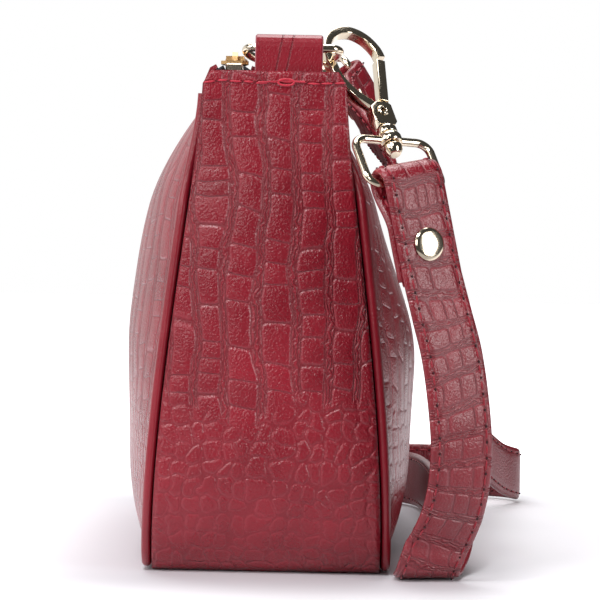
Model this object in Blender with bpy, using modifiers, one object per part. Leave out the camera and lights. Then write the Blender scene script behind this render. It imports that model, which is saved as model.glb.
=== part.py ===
"""Crossbody bag with a zip top, two D-rings and a strap on two snap hooks.

Metres, +Z up. The origin is the middle of the base. The bag's length runs along X, its near end
is at +X and its front faces -Y. Every piece is its own object.
"""

import math

import bmesh
import bpy
from mathutils import Matrix, Vector

MM = 0.001

# Clearances
TOUCH = 0.3 * MM
SEWN = 0.6 * MM

# Bag body
BAG_LENGTH = 230 * MM
BAG_HEIGHT = 152 * MM
TOP_HALF = 21.5 * MM
BASE_HALF = 34.7 * MM
FLARE_POWER = 0.8
CORNER_RUN = 16 * MM
CORNER_RISE = 36 * MM
LEATHER = 1.6 * MM
CHAMFER_DROP = 4 * MM
CHAMFER_RUN = 2.4 * MM
CHAMFER_FOOT = BAG_HEIGHT - CHAMFER_DROP

# Front and back panels
MOUTH_DROP = 7 * MM
PANEL_TOP = BAG_HEIGHT - MOUTH_DROP
PANEL_SWELL = 15.4 * MM
SWELL_POWER = 3.4
LOW_SWELL = 0.72
LOW_SWELL_END = 35 * MM
FULL_SWELL_START = 80 * MM
SEAM_STEP = 1.8 * MM
EAR_START = PANEL_TOP - 33 * MM
EAR_FULL = PANEL_TOP - 2 * MM
EAR_DEPTH = {"front": 2.0 * MM, "back": 6.7 * MM}
BACK_SLACK = 0.6
SLACK_START = 60 * MM
SLACK_FULL = PANEL_TOP - 25 * MM
PANEL_FACE = 0.5 * MM
SIDE_SIGN = {"front": -1, "back": 1}

# Piping
PIPING_RADIUS = 1.5 * MM
PIPING_INSET = 2.2 * MM
PIPING_TUCK = 1.8 * MM

# Inside
BOARD_THICK = 1.2 * MM
BOARD_MARGIN = 4.5 * MM
LINING_THICK = 0.6 * MM
LINING_GAP = 0.9 * MM
LINING_DROP = 3 * MM
LINING_SHARES = (1.0, 0.944, 0.859, 0.761, 0.634, 0.479, 0.324, 0.197, 0.099, 0.049)
LINING_LEVELS = [share * (PANEL_TOP - LINING_DROP) for share in LINING_SHARES]
POCKET_LEVELS = LINING_LEVELS[4:7]
POCKET_SHARES = (0.5, 0.25, 0.0, -0.25, -0.5)

# Zip
ZIP_Y = -12.5 * MM
CHAIN_RISE = 1.3 * MM
CHAIN_Z = BAG_HEIGHT + CHAIN_RISE
CHAIN_NEAR = BAG_LENGTH / 2 - 11 * MM
CHAIN_FAR = 15 * MM - BAG_LENGTH / 2
TOOTH_PITCH = 3.2 * MM
TOOTH_LENGTH = 1.4 * MM
TOOTH_REACH = 1.9 * MM
TOOTH_HEIGHT = 2.4 * MM
BEAD_WIDTH = 0.8 * MM
BEAD_HEIGHT = 1.4 * MM
CHAIN_SLIT = 1.3 * MM
TAPE_THICK = 0.6 * MM
TAPE_END = BAG_LENGTH / 2 - LEATHER - 1.0 * MM
TAPE_DROP = 1.9 * MM
TAPE_REACH = {"front": 6.0 * MM, "back": 6.0 * MM}
TAPE_COVER = 0.6 * MM
FACING_THICK = 1.2 * MM
FACING_SHORT = {"front": 6.2 * MM, "back": 10.6 * MM}
SLIDER_X = CHAIN_NEAR - 8 * MM
SLIDER_LENGTH = 10 * MM
SLIDER_WIDTH = 8.4 * MM
SLIDER_PLATE = 1.0 * MM
PULL_LENGTH = 22 * MM
PULL_WIDTH = 7.0 * MM
PULL_THICK = 1.4 * MM
PULL_BAR_RADIUS = 0.7 * MM
STOP_LENGTH = 2.6 * MM

# Tabs and D-rings
TAB_Y = 4.1 * MM
TAB_WIDTH = 20.4 * MM
TAB_THICK = 2.2 * MM
TAB_FOOT = BAG_HEIGHT - 18 * MM
RING_WIRE = 1.4 * MM
RING_Y = 5.2 * MM
RING_HALF = 14.1 * MM
RING_DEPTH = 16.4 * MM
RING_CORNER = 3.2 * MM
RING_Z = BAG_HEIGHT + 7.4 * MM
RING_LEAN = {"near": -13.0, "far": 12.0}

# Snap hooks, in the hook's own frame: X across, Y through the plate, Z up the shank
HOOK_THICK = 3.4 * MM
HOOK_BAR = 1.3 * MM
HOOK_BEVEL = 0.45 * MM
HOOK_SPINE = [
    (0.4, 11.5), (-3.2, 14.4), (-7.2, 18.2), (-10.0, 23.4), (-11.4, 29.4), (-11.3, 35.2),
    (-9.2, 40.5), (-5.2, 43.8), (-0.4, 44.7), (3.8, 42.4), (6.4, 38.0), (7.0, 34.2),
]
BLOCK_HALF = 3.7 * MM
BLOCK_FOOT = 5.2 * MM
BLOCK_HEAD = 14.6 * MM
GATE_PIVOT = 10.6 * MM
GATE_HALF = 1.5 * MM
GATE_SHOULDER = 15.4 * MM
GATE_TIP = (6.2 * MM, 32.8 * MM)
GATE_SLOT = 1.8 * MM
SLOT_FLOOR = 7.4 * MM
GATE_RIVET = 1.0 * MM
RIVET_HEAD = 1.9 * MM
RIVET_BORE = 0.55 * MM
POST_RADIUS = 1.4 * MM
NECK_RADIUS = 3.1 * MM
BOSS_RADIUS = 3.6 * MM
BOSS_HALF = 1.7 * MM
KNOB_RADIUS = 2.9 * MM
KNOB_LENGTH = 3.6 * MM
SPIN_CLEAR = 0.3 * MM
LOOP_WIRE = 1.3 * MM
LOOP_HALF = 12.6 * MM
LOOP_LENGTH = 17.8 * MM
LOOP_CORNER = 4.0 * MM

# Where each hook hangs: from its D-ring's bar to the boss of the strap ring, the way up its shank
# and the way across it
HOOK_PLACE = {
    "near": (Vector((9.5, 29.6, -27.8)) * MM, Vector((-0.596, -0.27, 0.757)),
             Vector((-0.48, 0.878, 0.0))),
    "far": (Vector((48.9, 18.8, -1.9)) * MM, Vector((-0.955, -0.28, 0.08)),
            Vector((0.0, 0.5, -0.85))),
}

# Strap
STRAP_WIDTH = 20 * MM
STRAP_THICK = 2.8 * MM
STRAP_EDGE = 0.7 * MM
FOLD_RADIUS = 4.1 * MM
TAIL_LENGTH = 29 * MM
RIVET_DOWN = 19.5 * MM
CAP_RADIUS = 5.0 * MM
CAP_HEIGHT = 1.1 * MM
SHANK_RADIUS = 1.5 * MM
FOLD_SHIFT = {"near": Vector((-0.45, 0.0, 1.4)) * MM, "far": Vector((0.0, 0.0, 0.0))}
HANG = {"near": Vector((0.0, 0.21, -0.978)), "far": Vector((0.97, 0.02, -0.24))}
FOLD_ACROSS = {"near": Vector((-0.48, 0.865, 0.15)), "far": Vector((0.0, 0.5, -0.85))}
FOLD_FRONT = {"near": 1, "far": -1}

# The strap's way from hook to hook past a bag of the route's length and height, in millimetres:
# where its middle is, with Y from the back panel's fullest line, and the way across it
ROUTE_LENGTH = 230 * MM
ROUTE_HEIGHT = 152 * MM
ROUTE_FLOOR = 20 * MM
FLAT = (STRAP_THICK / 2 + 0.2 * MM) / MM
UPRIGHT = (STRAP_WIDTH / 2 + 0.6 * MM) / MM
STRAP_ROUTE = [
    ((132.4, 0.6, 80.0), (-0.45, 0.88, 0.16)),
    ((132.3, 3.6, 69.0), (-0.42, 0.89, 0.13)),
    ((131.6, 5.8, 56.0), (-0.40, 0.91, 0.08)),
    ((130.6, 7.2, 42.0), (-0.39, 0.92, 0.0)),
    ((128.2, 6.8, 30.0), (-0.37, 0.92, -0.08)),
    ((125.2, 5.2, 21.0), (-0.36, 0.92, -0.14)),
    ((121.9, 3.0, 14.6), (-0.34, 0.92, -0.18)),
    ((119.6, 1.2, 10.6), (-0.31, 0.94, -0.15)),
    ((119.0, -0.2, 7.0), (-0.29, 0.95, -0.10)),
    ((117.2, -1.2, 3.6), (-0.26, 0.96, -0.04)),
    ((112.0, -1.4, FLAT + 0.1), (-0.20, 0.98, 0.0)),
    ((101.0, 0.6, FLAT + 0.5), (-0.12, 0.99, 0.04)),
    ((86.0, 4.6, 5.8), (-0.05, 0.95, 0.32)),
    ((64.0, 8.0, 10.2), (0.0, 0.60, 0.80)),
    ((40.0, 8.4, UPRIGHT), (0.0, 0.15, 0.99)),
    ((0.0, 8.4, UPRIGHT), (0.0, 0.0, 1.0)),
    ((-45.0, 8.0, UPRIGHT), (0.0, 0.0, 1.0)),
    ((-88.0, 7.0, UPRIGHT), (0.0, 0.0, 1.0)),
    ((-116.0, 3.0, UPRIGHT), (0.0, 0.0, 1.0)),
    ((-132.0, -10.0, UPRIGHT), (0.0, 0.0, 1.0)),
    ((-139.0, -26.0, UPRIGHT), (0.0, 0.0, 1.0)),
    ((-149.0, -35.0, UPRIGHT), (0.0, 0.0, 1.0)),
    ((-159.0, -27.0, UPRIGHT), (0.0, 0.0, 1.0)),
    ((-162.0, -4.0, UPRIGHT), (0.0, 0.0, 1.0)),
    ((-160.0, 22.0, UPRIGHT), (0.0, 0.0, 1.0)),
    ((-154.0, 40.0, UPRIGHT), (0.0, 0.0, 1.0)),
    ((-141.0, 46.0, UPRIGHT + 0.4), (-0.04, 0.0, 0.99)),
    ((-124.0, 38.0, 15.0), (-0.22, 0.0, 0.97)),
    ((-98.0, 26.5, 26.0), (-0.36, 0.06, 0.93)),
    ((-64.0, 17.5, 39.0), (-0.38, 0.12, 0.92)),
    ((-28.0, 11.0, 52.0), (-0.45, 0.20, 0.87)),
    ((4.0, 6.0, 66.0), (-0.60, 0.35, 0.72)),
    ((24.0, 3.6, 86.0), (-0.85, 0.35, 0.40)),
    ((30.0, -1.2, 105.0), (-0.95, 0.30, 0.05)),
    ((25.0, -7.6, 121.0), (-0.85, 0.30, -0.40)),
    ((14.0, -14.6, 133.0), (-0.55, 0.35, -0.75)),
    ((0.0, -20.6, 141.6), (-0.30, 0.42, -0.85)),
]

ENDS = {"near": 1, "far": -1}


def smooth_step(value):
    """0 below 0, 1 above 1, and an even S between."""
    value = min(1.0, max(0.0, value))
    return value * value * (3 - 2 * value)


def spread(first, last, count):
    return [first + (last - first) * i / count for i in range(count + 1)]


def clear_scene():
    for obj in list(bpy.data.objects):
        bpy.data.objects.remove(obj, do_unlink=True)


def make_collection(name):
    collection = bpy.data.collections.new(name)
    bpy.context.scene.collection.children.link(collection)
    return collection


def make_material(name, colour, roughness, metallic=0.0):
    material = bpy.data.materials.new(name)
    material.use_nodes = True
    shader = material.node_tree.nodes["Principled BSDF"]
    shader.inputs["Base Color"].default_value = (*colour, 1.0)
    shader.inputs["Roughness"].default_value = roughness
    shader.inputs["Metallic"].default_value = metallic
    material.diffuse_color = (*colour, 1.0)
    return material


class Shop:
    """The collections and materials that every piece is made with."""

    def __init__(self):
        self.parts = make_collection("crossbody_bag")
        self.cutters = make_collection("cutters")
        self.leather = (0.26, 0.012, 0.022)
        self.edge = (0.18, 0.008, 0.014)
        self.gold = (0.83, 0.70, 0.48)
        self.cloth = (0.015, 0.014, 0.018)
        self.card = (0.45, 0.36, 0.26)

    def add(self, obj, colour, roughness, metallic=0.0):
        """Puts a finished object in the bag, with a material of its own."""
        self.parts.objects.link(obj)
        obj.data.materials.append(make_material(obj.name, colour, roughness, metallic))
        if obj.type == "MESH":
            obj.data.shade_smooth()
            obj.data.set_sharp_from_angle(angle=math.radians(35))
        return obj

    def add_leather(self, obj):
        return self.add(obj, self.leather, 0.42)

    def add_gold(self, obj):
        return self.add(obj, self.gold, 0.18, 1.0)

    def add_cutter(self, obj):
        self.cutters.objects.link(obj)
        obj.hide_render = True
        obj.display_type = "WIRE"
        return obj


def object_from(name, bm):
    bmesh.ops.remove_doubles(bm, verts=bm.verts, dist=0.00001)
    mesh = bpy.data.meshes.new(name)
    bm.to_mesh(mesh)
    bm.free()
    return bpy.data.objects.new(name, mesh)


def sheet(name, rows, thickness, closed=False, filled=False):
    """An open surface through rows of points, whose faces look outwards, with its wall inside."""
    bm = bmesh.new()
    grid = [[bm.verts.new(point) for point in row] for row in rows]
    count = len(rows[0])
    for upper, lower in zip(grid, grid[1:]):
        for i in range(count if closed else count - 1):
            j = (i + 1) % count
            bm.faces.new((upper[i], upper[j], lower[j], lower[i]))
    if filled:
        bm.faces.new(grid[-1])
    obj = object_from(name, bm)
    wall = obj.modifiers.new("wall", "SOLIDIFY")
    wall.thickness = thickness
    wall.offset = -1.0
    wall.use_even_offset = True
    return obj


def loft(name, rings):
    """A closed solid through rings of points, with both ends filled."""
    bm = bmesh.new()
    grid = [[bm.verts.new(point) for point in ring] for ring in rings]
    count = len(rings[0])
    for lower, upper in zip(grid, grid[1:]):
        for i in range(count):
            j = (i + 1) % count
            bm.faces.new((lower[i], lower[j], upper[j], upper[i]))
    bm.faces.new(list(reversed(grid[0])))
    bm.faces.new(grid[-1])
    bmesh.ops.recalc_face_normals(bm, faces=bm.faces)
    return object_from(name, bm)


def wire(name, points, radius, cyclic=False, sides=2):
    """A round wire or cord along points."""
    curve = bpy.data.curves.new(name, "CURVE")
    curve.dimensions = "3D"
    curve.bevel_depth = radius
    curve.bevel_resolution = sides
    curve.use_fill_caps = True
    spline = curve.splines.new("POLY")
    spline.points.add(len(points) - 1)
    for control, point in zip(spline.points, points):
        control.co = (*point, 1.0)
    spline.use_cyclic_u = cyclic
    return bpy.data.objects.new(name, curve)


def as_mesh(shop, obj):
    """The curve's own shape as a closed mesh, with its caps welded."""
    shop.parts.objects.link(obj)
    bpy.context.view_layer.update()
    evaluated = obj.evaluated_get(bpy.context.evaluated_depsgraph_get())
    mesh = bpy.data.meshes.new_from_object(evaluated)
    bm = bmesh.new()
    bm.from_mesh(mesh)
    bmesh.ops.remove_doubles(bm, verts=bm.verts, dist=0.000005)
    bm.to_mesh(mesh)
    bm.free()
    name, matrix = obj.name, obj.matrix_world.copy()
    bpy.data.objects.remove(obj, do_unlink=True)
    solid = bpy.data.objects.new(name, mesh)
    solid.matrix_world = matrix
    return solid


def plate(shop, name, outline, thickness, bevel=0.0, window=None):
    """A flat piece with this outline in X and Z, centred on Y = 0."""
    curve = bpy.data.curves.new(name, "CURVE")
    curve.dimensions = "2D"
    curve.fill_mode = "BOTH"
    curve.extrude = thickness / 2 - bevel
    curve.bevel_depth = bevel
    curve.bevel_resolution = 0
    curve.offset = -bevel
    for ring in [outline] + ([window] if window else []):
        spline = curve.splines.new("POLY")
        spline.points.add(len(ring) - 1)
        for control, (across, up) in zip(spline.points, ring):
            control.co = (across, up, 0.0, 1.0)
        spline.use_cyclic_u = True
    solid = as_mesh(shop, bpy.data.objects.new(name, curve))
    solid.data.transform(Matrix.Rotation(math.radians(90), 4, "X"))
    return solid


def turned(name, profile, segments=20):
    """A solid of revolution about Z, from (radius, height) points given from top to bottom."""
    bm = bmesh.new()
    rows = []
    for radius, height in profile:
        if radius == 0:
            rows.append([bm.verts.new((0, 0, height))])
            continue
        angles = [2 * math.pi * k / segments for k in range(segments)]
        rows.append([bm.verts.new((radius * math.cos(a), radius * math.sin(a), height)) for a in angles])
    for upper, lower in zip(rows, rows[1:]):
        for k in range(segments):
            j = (k + 1) % segments
            ring = [upper[k % len(upper)], upper[j % len(upper)], lower[j % len(lower)], lower[k % len(lower)]]
            corners = list(dict.fromkeys(ring))
            if len(corners) > 2:
                bm.faces.new(corners)
    bmesh.ops.recalc_face_normals(bm, faces=bm.faces)
    return object_from(name, bm)


def cylinder(name, radius, length, matrix, segments=20):
    bm = bmesh.new()
    bmesh.ops.create_cone(bm, cap_ends=True, segments=segments, radius1=radius, radius2=radius, depth=length)
    bmesh.ops.transform(bm, matrix=matrix, verts=bm.verts)
    return object_from(name, bm)


def box(name, low, high):
    bm = bmesh.new()
    bmesh.ops.create_cube(bm, size=1.0)
    size = [b - a for a, b in zip(low, high)]
    middle = [(a + b) / 2 for a, b in zip(low, high)]
    bmesh.ops.scale(bm, vec=size, verts=bm.verts)
    bmesh.ops.translate(bm, vec=middle, verts=bm.verts)
    return object_from(name, bm)


def combine(shop, obj, tool, operation):
    """Joins a tool to an object or cuts it away, at once."""
    shop.add_cutter(tool)
    if not obj.users_collection:
        shop.parts.objects.link(obj)
    change = obj.modifiers.new(operation.lower(), "BOOLEAN")
    change.operation = operation
    change.object = tool
    bpy.context.view_layer.update()
    evaluated = obj.evaluated_get(bpy.context.evaluated_depsgraph_get())
    mesh = bpy.data.meshes.new_from_object(evaluated)
    obj.modifiers.remove(change)
    obj.data = mesh
    for collection in list(obj.users_collection):
        collection.objects.unlink(obj)
    bpy.data.objects.remove(tool, do_unlink=True)
    return obj


def place(obj, matrix):
    """Moves the mesh into the bag's frame and leaves the object's origin at the matrix's own."""
    obj.matrix_world = matrix
    return obj


def spline_through(points, steps):
    """Points on a smooth curve through these, of any size, with this many steps between two."""
    result = []
    last = len(points) - 1
    for i in range(last):
        a, b = points[max(i - 1, 0)], points[i]
        c, d = points[i + 1], points[min(i + 2, last)]
        for k in range(steps):
            t = k / steps
            result.append([
                0.5 * (2 * q + (r - p) * t + (2 * p - 5 * q + 4 * r - s) * t**2 + (3 * q - p - 3 * r + s) * t**3)
                for p, q, r, s in zip(a, b, c, d)
            ])
    result.append(list(points[-1]))
    return result


# The bag's shape


def gusset_half(z):
    """Half the gusset's width at this height."""
    down = min(1.0, max(0.0, 1 - z / BAG_HEIGHT))
    return TOP_HALF + (BASE_HALF - TOP_HALF) * smooth_step(down**FLARE_POWER)


def drawn_in(z):
    """How far the seam has turned in behind the gusset at this height, from 0 to 1."""
    return smooth_step((z - EAR_START) / (EAR_FULL - EAR_START))


def seam_half(z, side):
    """Distance of a seam from the bag's middle plane."""
    return gusset_half(z) + SEAM_STEP - EAR_DEPTH[side] * drawn_in(z)


def seam_tuck(z):
    return PIPING_TUCK * min(1.0, 12 * drawn_in(z))


def panel_face(x, z, side):
    """Distance of a panel's outer face from the bag's middle plane."""
    middle = (PANEL_TOP + LEATHER) / 2
    across = abs(x) / (BAG_LENGTH / 2 - PIPING_INSET - PIPING_RADIUS)
    up = abs(z - middle) / (PANEL_TOP - middle)
    out = min(1.0, (across**6 + up**6) ** (1 / 6))
    fullness = smooth_step((z - LOW_SWELL_END) / (FULL_SWELL_START - LOW_SWELL_END))
    swell = PANEL_SWELL * (1 - out**SWELL_POWER) * (LOW_SWELL + (1 - LOW_SWELL) * fullness)
    if side == "back":
        swell *= 1 - BACK_SLACK * smooth_step((z - SLACK_START) / (SLACK_FULL - SLACK_START))
    return seam_half(z, side) + PANEL_FACE + swell


def outline(inset, top, tuck=0.0):
    """The bag seen from the front, from the top of the near end round to the top of the far end."""
    end = BAG_LENGTH / 2
    points = []
    for z in spread(top, CORNER_RISE, 8):
        points.append((end - inset - tuck * seam_tuck(z), z))
    for i in range(1, 9):
        turn = math.pi / 2 * i / 8
        normal = Vector((math.cos(turn) / CORNER_RUN, -math.sin(turn) / CORNER_RISE)).normalized()
        x = end - CORNER_RUN + CORNER_RUN * math.cos(turn)
        z = CORNER_RISE - CORNER_RISE * math.sin(turn)
        points.append((x - normal.x * inset, z - normal.y * inset))
    for x in spread(end - CORNER_RUN, 0.0, 4)[1:]:
        points.append((x, inset))
    return points + [(-x, z) for x, z in reversed(points[:-1])]


def make_gusset(shop):
    end = BAG_LENGTH / 2
    rows = []
    for x, z in [(end, BAG_HEIGHT)] + outline(0.0, CHAMFER_FOOT) + [(-end, BAG_HEIGHT)]:
        half = gusset_half(z) - (CHAMFER_RUN if z > CHAMFER_FOOT else 0.0)
        rows.append([(x, share * half, z) for share in spread(1.0, -1.0, 6)])
    shop.add_leather(sheet("gusset", rows, LEATHER))


def make_piping(shop, side):
    points = []
    for x, z in outline(PIPING_INSET, PANEL_TOP, tuck=1.0):
        points.append((x, SIDE_SIGN[side] * seam_half(z, side), z))
    shop.add_leather(wire(f"{side}_piping", points, PIPING_RADIUS, sides=1))


def make_panel(shop, side):
    """Rings that shrink from the seam to the panel's middle, each point at the panel's swell."""
    inset = PIPING_INSET + PIPING_RADIUS + TOUCH
    edge = outline(inset, PANEL_TOP, tuck=1.0)
    top = [(x, PANEL_TOP) for x in spread(edge[-1][0], edge[0][0], 10)[1:-1]]
    rim = edge + top
    middle = Vector((0.0, (PANEL_TOP + LEATHER) / 2))
    rows = []
    for share in (1.0, 0.93, 0.82, 0.68, 0.5, 0.28, 0.03):
        row = []
        for point in rim:
            x, z = middle + (Vector(point) - middle) * share
            row.append((x, SIDE_SIGN[side] * panel_face(x, z, side), z))
        rows.append(row if side == "back" else row[::-1])
    shop.add_leather(sheet(f"{side}_panel", rows, LEATHER, closed=True, filled=True))


def lining_ring(z):
    """One level of the lining, clockwise from above."""
    tab_room = (2 * TAB_THICK + 2 * MM) * smooth_step((z - TAB_FOOT + 30 * MM) / (22 * MM))
    corner = 1 + 0.8 * max(0.0, 1 - z / CORNER_RISE)
    reach = outline_reach(z) - (LEATHER + SEWN) * corner - tab_room
    points = []
    for side, sign in (("front", 1), ("back", -1)):
        for share in (0.98, 0.9, 0.72, 0.5, 0.25, 0.0, -0.25, -0.5, -0.72, -0.9, -0.98):
            x = sign * share * reach
            y = panel_face(x, z, side) - LEATHER - LINING_GAP
            limit = seam_half(z, side) - PIPING_RADIUS - 1.4 * MM
            if abs(share) > 0.8:
                y = min(y, limit)
            if z < 6 * MM:
                y = min(y, gusset_half(z) - 1.5 * MM)
            points.append((x, SIDE_SIGN[side] * y, z))
        points.append((-sign * reach, 0.0, z))
    return points


def outline_reach(z):
    """Distance of the gusset's outer face from the middle of the bag at this height."""
    if z >= CORNER_RISE:
        return BAG_LENGTH / 2
    turn = math.asin((CORNER_RISE - z) / CORNER_RISE)
    return BAG_LENGTH / 2 - CORNER_RUN + CORNER_RUN * math.cos(turn)


def lining_floor():
    return LEATHER + BOARD_THICK + 2 * SEWN + 0.3 * MM


def make_inside(shop):
    rows = [lining_ring(z) for z in LINING_LEVELS + [lining_floor()]]
    lining = sheet("lining", rows, LINING_THICK, closed=True, filled=True)
    shop.add(lining, shop.cloth, 0.8)
    half = BAG_LENGTH / 2 - CORNER_RUN - BOARD_MARGIN
    wide = BASE_HALF - BOARD_MARGIN
    low = LEATHER + SEWN
    board = box("base_board", (-half, -wide, low), (half, wide, low + BOARD_THICK))
    shop.add(board, shop.card, 0.85)
    rows = []
    for z in POCKET_LEVELS:
        reach = outline_reach(z) - LEATHER - SEWN
        inner = LEATHER + LINING_GAP + LINING_THICK + 2 * SEWN
        places = [share * reach for share in POCKET_SHARES]
        rows.append([(x, panel_face(x, z, "back") - inner, z) for x in places])
    shop.add(sheet("inner_pocket", rows, LINING_THICK), shop.cloth, 0.8)


# Zip


def make_strip(shop, name, section, low_x, high_x, thickness):
    """A strip along X whose section is given as (y, z) points, wall on its inner side."""
    rows = [[(x, y, z) for x in (high_x, 0.0, low_x)] for y, z in section]
    return sheet(name, rows, thickness)


def make_facings(shop):
    edge = {side: ZIP_Y + SIDE_SIGN[side] * (TAPE_REACH[side] - TAPE_COVER) for side in SIDE_SIGN}
    lift = CHAIN_Z - TAPE_DROP + TAPE_THICK / 2 + TOUCH + FACING_THICK + 0.9 * MM
    front = [
        (edge["front"], lift),
        (edge["front"] - 1.8 * MM, lift - 1.0 * MM),
        (edge["front"] - 3.4 * MM, PANEL_TOP + 0.46 * (lift - PANEL_TOP)),
        (0.2 * MM - panel_face(0, PANEL_TOP, "front"), PANEL_TOP + TOUCH),
    ]
    start = panel_face(0, PANEL_TOP, "back") - 0.2 * MM
    back = [
        (start, PANEL_TOP + TOUCH + 0.75 * FACING_THICK),
        (start - 2.7 * MM, PANEL_TOP + 0.4 * (lift - PANEL_TOP)),
        (start - 10.2 * MM, PANEL_TOP + 0.72 * (lift - PANEL_TOP)),
        (edge["back"] + 2.4 * MM, lift - 0.9 * MM),
        (edge["back"], lift),
    ]
    reach = BAG_LENGTH / 2 - FACING_SHORT["front"]
    shop.add_leather(make_strip(shop, "front_facing", front[::-1], reach, -reach, FACING_THICK))
    reach = BAG_LENGTH / 2 - FACING_SHORT["back"]
    shop.add_leather(make_strip(shop, "back_facing", back, -reach, reach, FACING_THICK))


def make_tape(shop, side):
    """A cloth tape from the teeth down to the facing it is sewn under."""
    start = ZIP_Y + SIDE_SIGN[side] * (CHAIN_SLIT / 2 + TOOTH_REACH + 2 * TOUCH)
    end = ZIP_Y + SIDE_SIGN[side] * TAPE_REACH[side]
    section = [(start, CHAIN_Z + TAPE_THICK / 2), (end, CHAIN_Z + TAPE_THICK / 2 - TAPE_DROP)]
    if side == "front":
        tape = make_strip(shop, "zip_tape_front", section[::-1], TAPE_END, -TAPE_END, TAPE_THICK)
    else:
        tape = make_strip(shop, "zip_tape_back", section[::-1], -TAPE_END, TAPE_END, TAPE_THICK)
    shop.add(tape, shop.cloth, 0.85)


def make_teeth(shop, side):
    """One row of teeth on its bead, half a pitch from the other row."""
    bm = bmesh.new()
    shift = 0.0 if side == "front" else TOOTH_PITCH / 2
    count = int((CHAIN_NEAR - CHAIN_FAR) / TOOTH_PITCH)
    near = ZIP_Y + SIDE_SIGN[side] * CHAIN_SLIT / 2
    middle = near + SIDE_SIGN[side] * TOOTH_REACH / 2
    for k in range(count):
        x = CHAIN_FAR + shift + k * TOOTH_PITCH + TOOTH_LENGTH / 2
        made = bmesh.ops.create_cube(bm, size=1.0)
        bmesh.ops.scale(bm, vec=(TOOTH_LENGTH, TOOTH_REACH, TOOTH_HEIGHT), verts=made["verts"])
        bmesh.ops.translate(bm, vec=(x, middle, CHAIN_Z), verts=made["verts"])
    outer = middle + SIDE_SIGN[side] * (TOOTH_REACH / 2 - BEAD_WIDTH / 2)
    low = (CHAIN_FAR, outer - BEAD_WIDTH / 2, CHAIN_Z - BEAD_HEIGHT / 2)
    high = (CHAIN_NEAR + TOOTH_PITCH / 2, outer + BEAD_WIDTH / 2, CHAIN_Z + BEAD_HEIGHT / 2)
    row = box(f"zip_teeth_{side}", low, high)
    shop.add_gold(combine(shop, row, object_from("teeth", bm), "UNION"))


def make_stop(shop, end):
    """A clip round both tapes' beads that keeps the slider on the chain."""
    if end == "near":
        x = CHAIN_NEAR + TOOTH_PITCH / 2 + TOUCH
    else:
        x = CHAIN_FAR - STOP_LENGTH - TOUCH
    half = CHAIN_SLIT / 2 + TOOTH_REACH
    low = (x, ZIP_Y - half, CHAIN_Z - TOOTH_HEIGHT / 2)
    high = (x + STOP_LENGTH, ZIP_Y + half, CHAIN_Z + TOOTH_HEIGHT / 2)
    stop = box(f"zip_{end}_stop", low, high)
    soften(stop, 0.35 * MM)
    shop.add_gold(stop)


def soften(obj, width, segments=1):
    """Rounded edges."""
    edge = obj.modifiers.new("edge", "BEVEL")
    edge.width = width
    edge.segments = segments
    edge.limit_method = "ANGLE"
    edge.angle_limit = math.radians(40)
    return obj


def slider_top():
    return CHAIN_Z + TOOTH_HEIGHT / 2 + TOUCH + SLIDER_PLATE


def pull_axis():
    """Where the pull turns: its bar's middle, under the bail."""
    return Vector((SLIDER_X, ZIP_Y, slider_top() + PULL_BAR_RADIUS + TOUCH))


def make_slider(shop):
    """Two plates joined by the post that runs in the chain's slit, and a bail on top."""
    half = SLIDER_WIDTH / 2
    under = CHAIN_Z + TOOTH_HEIGHT / 2 + TOUCH
    shape = [
        (-0.5 * SLIDER_LENGTH, -0.36 * SLIDER_WIDTH), (0.1 * SLIDER_LENGTH, -half), (0.36 * SLIDER_LENGTH, -half),
        (0.5 * SLIDER_LENGTH, -0.3 * SLIDER_WIDTH), (0.5 * SLIDER_LENGTH, 0.3 * SLIDER_WIDTH),
        (0.36 * SLIDER_LENGTH, half), (0.1 * SLIDER_LENGTH, half), (-0.5 * SLIDER_LENGTH, 0.36 * SLIDER_WIDTH),
    ]
    slider = plate(shop, "zip_slider", shape, SLIDER_PLATE)
    slider.data.transform(Matrix.Rotation(math.radians(-90), 4, "X"))
    slider.data.transform(Matrix.Translation((SLIDER_X, ZIP_Y, under + SLIDER_PLATE / 2)))
    lower = plate(shop, "slider_lower", shape, SLIDER_PLATE)
    lower.data.transform(Matrix.Rotation(math.radians(-90), 4, "X"))
    drop = 2 * CHAIN_Z - under - SLIDER_PLATE / 2
    lower.data.transform(Matrix.Translation((SLIDER_X, ZIP_Y, drop)))
    slider = combine(shop, slider, lower, "UNION")
    post_half = CHAIN_SLIT / 2 - TOUCH
    post = box("slider_post", (SLIDER_X, ZIP_Y - post_half, drop), (SLIDER_X + 3.5 * MM, ZIP_Y + post_half, under + SLIDER_PLATE / 2))
    slider = combine(shop, slider, post, "UNION")
    bail = plate(shop, "slider_bail", bail_outline(), 1.6 * MM)
    bail.data.transform(Matrix.Translation((SLIDER_X, ZIP_Y, slider_top())))
    slider = combine(shop, slider, bail, "UNION")
    shop.add_gold(slider)


def bail_outline():
    """An arch along the slider, high enough for the pull's bar."""
    outer, inner = 3.6 * MM, 2.4 * MM
    height = 2 * PULL_BAR_RADIUS + 2 * TOUCH
    wall = 0.8 * MM
    shoulder = 0.75 * height
    points = [(-outer, -0.3 * MM), (-outer + 0.5 * MM, shoulder), (-outer + 1.8 * MM, height + wall)]
    points += [(outer - 1.8 * MM, height + wall), (outer - 0.5 * MM, shoulder), (outer, -0.3 * MM)]
    points += [(inner, -0.3 * MM), (inner, height), (-inner, height), (-inner, -0.3 * MM)]
    return points


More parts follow.
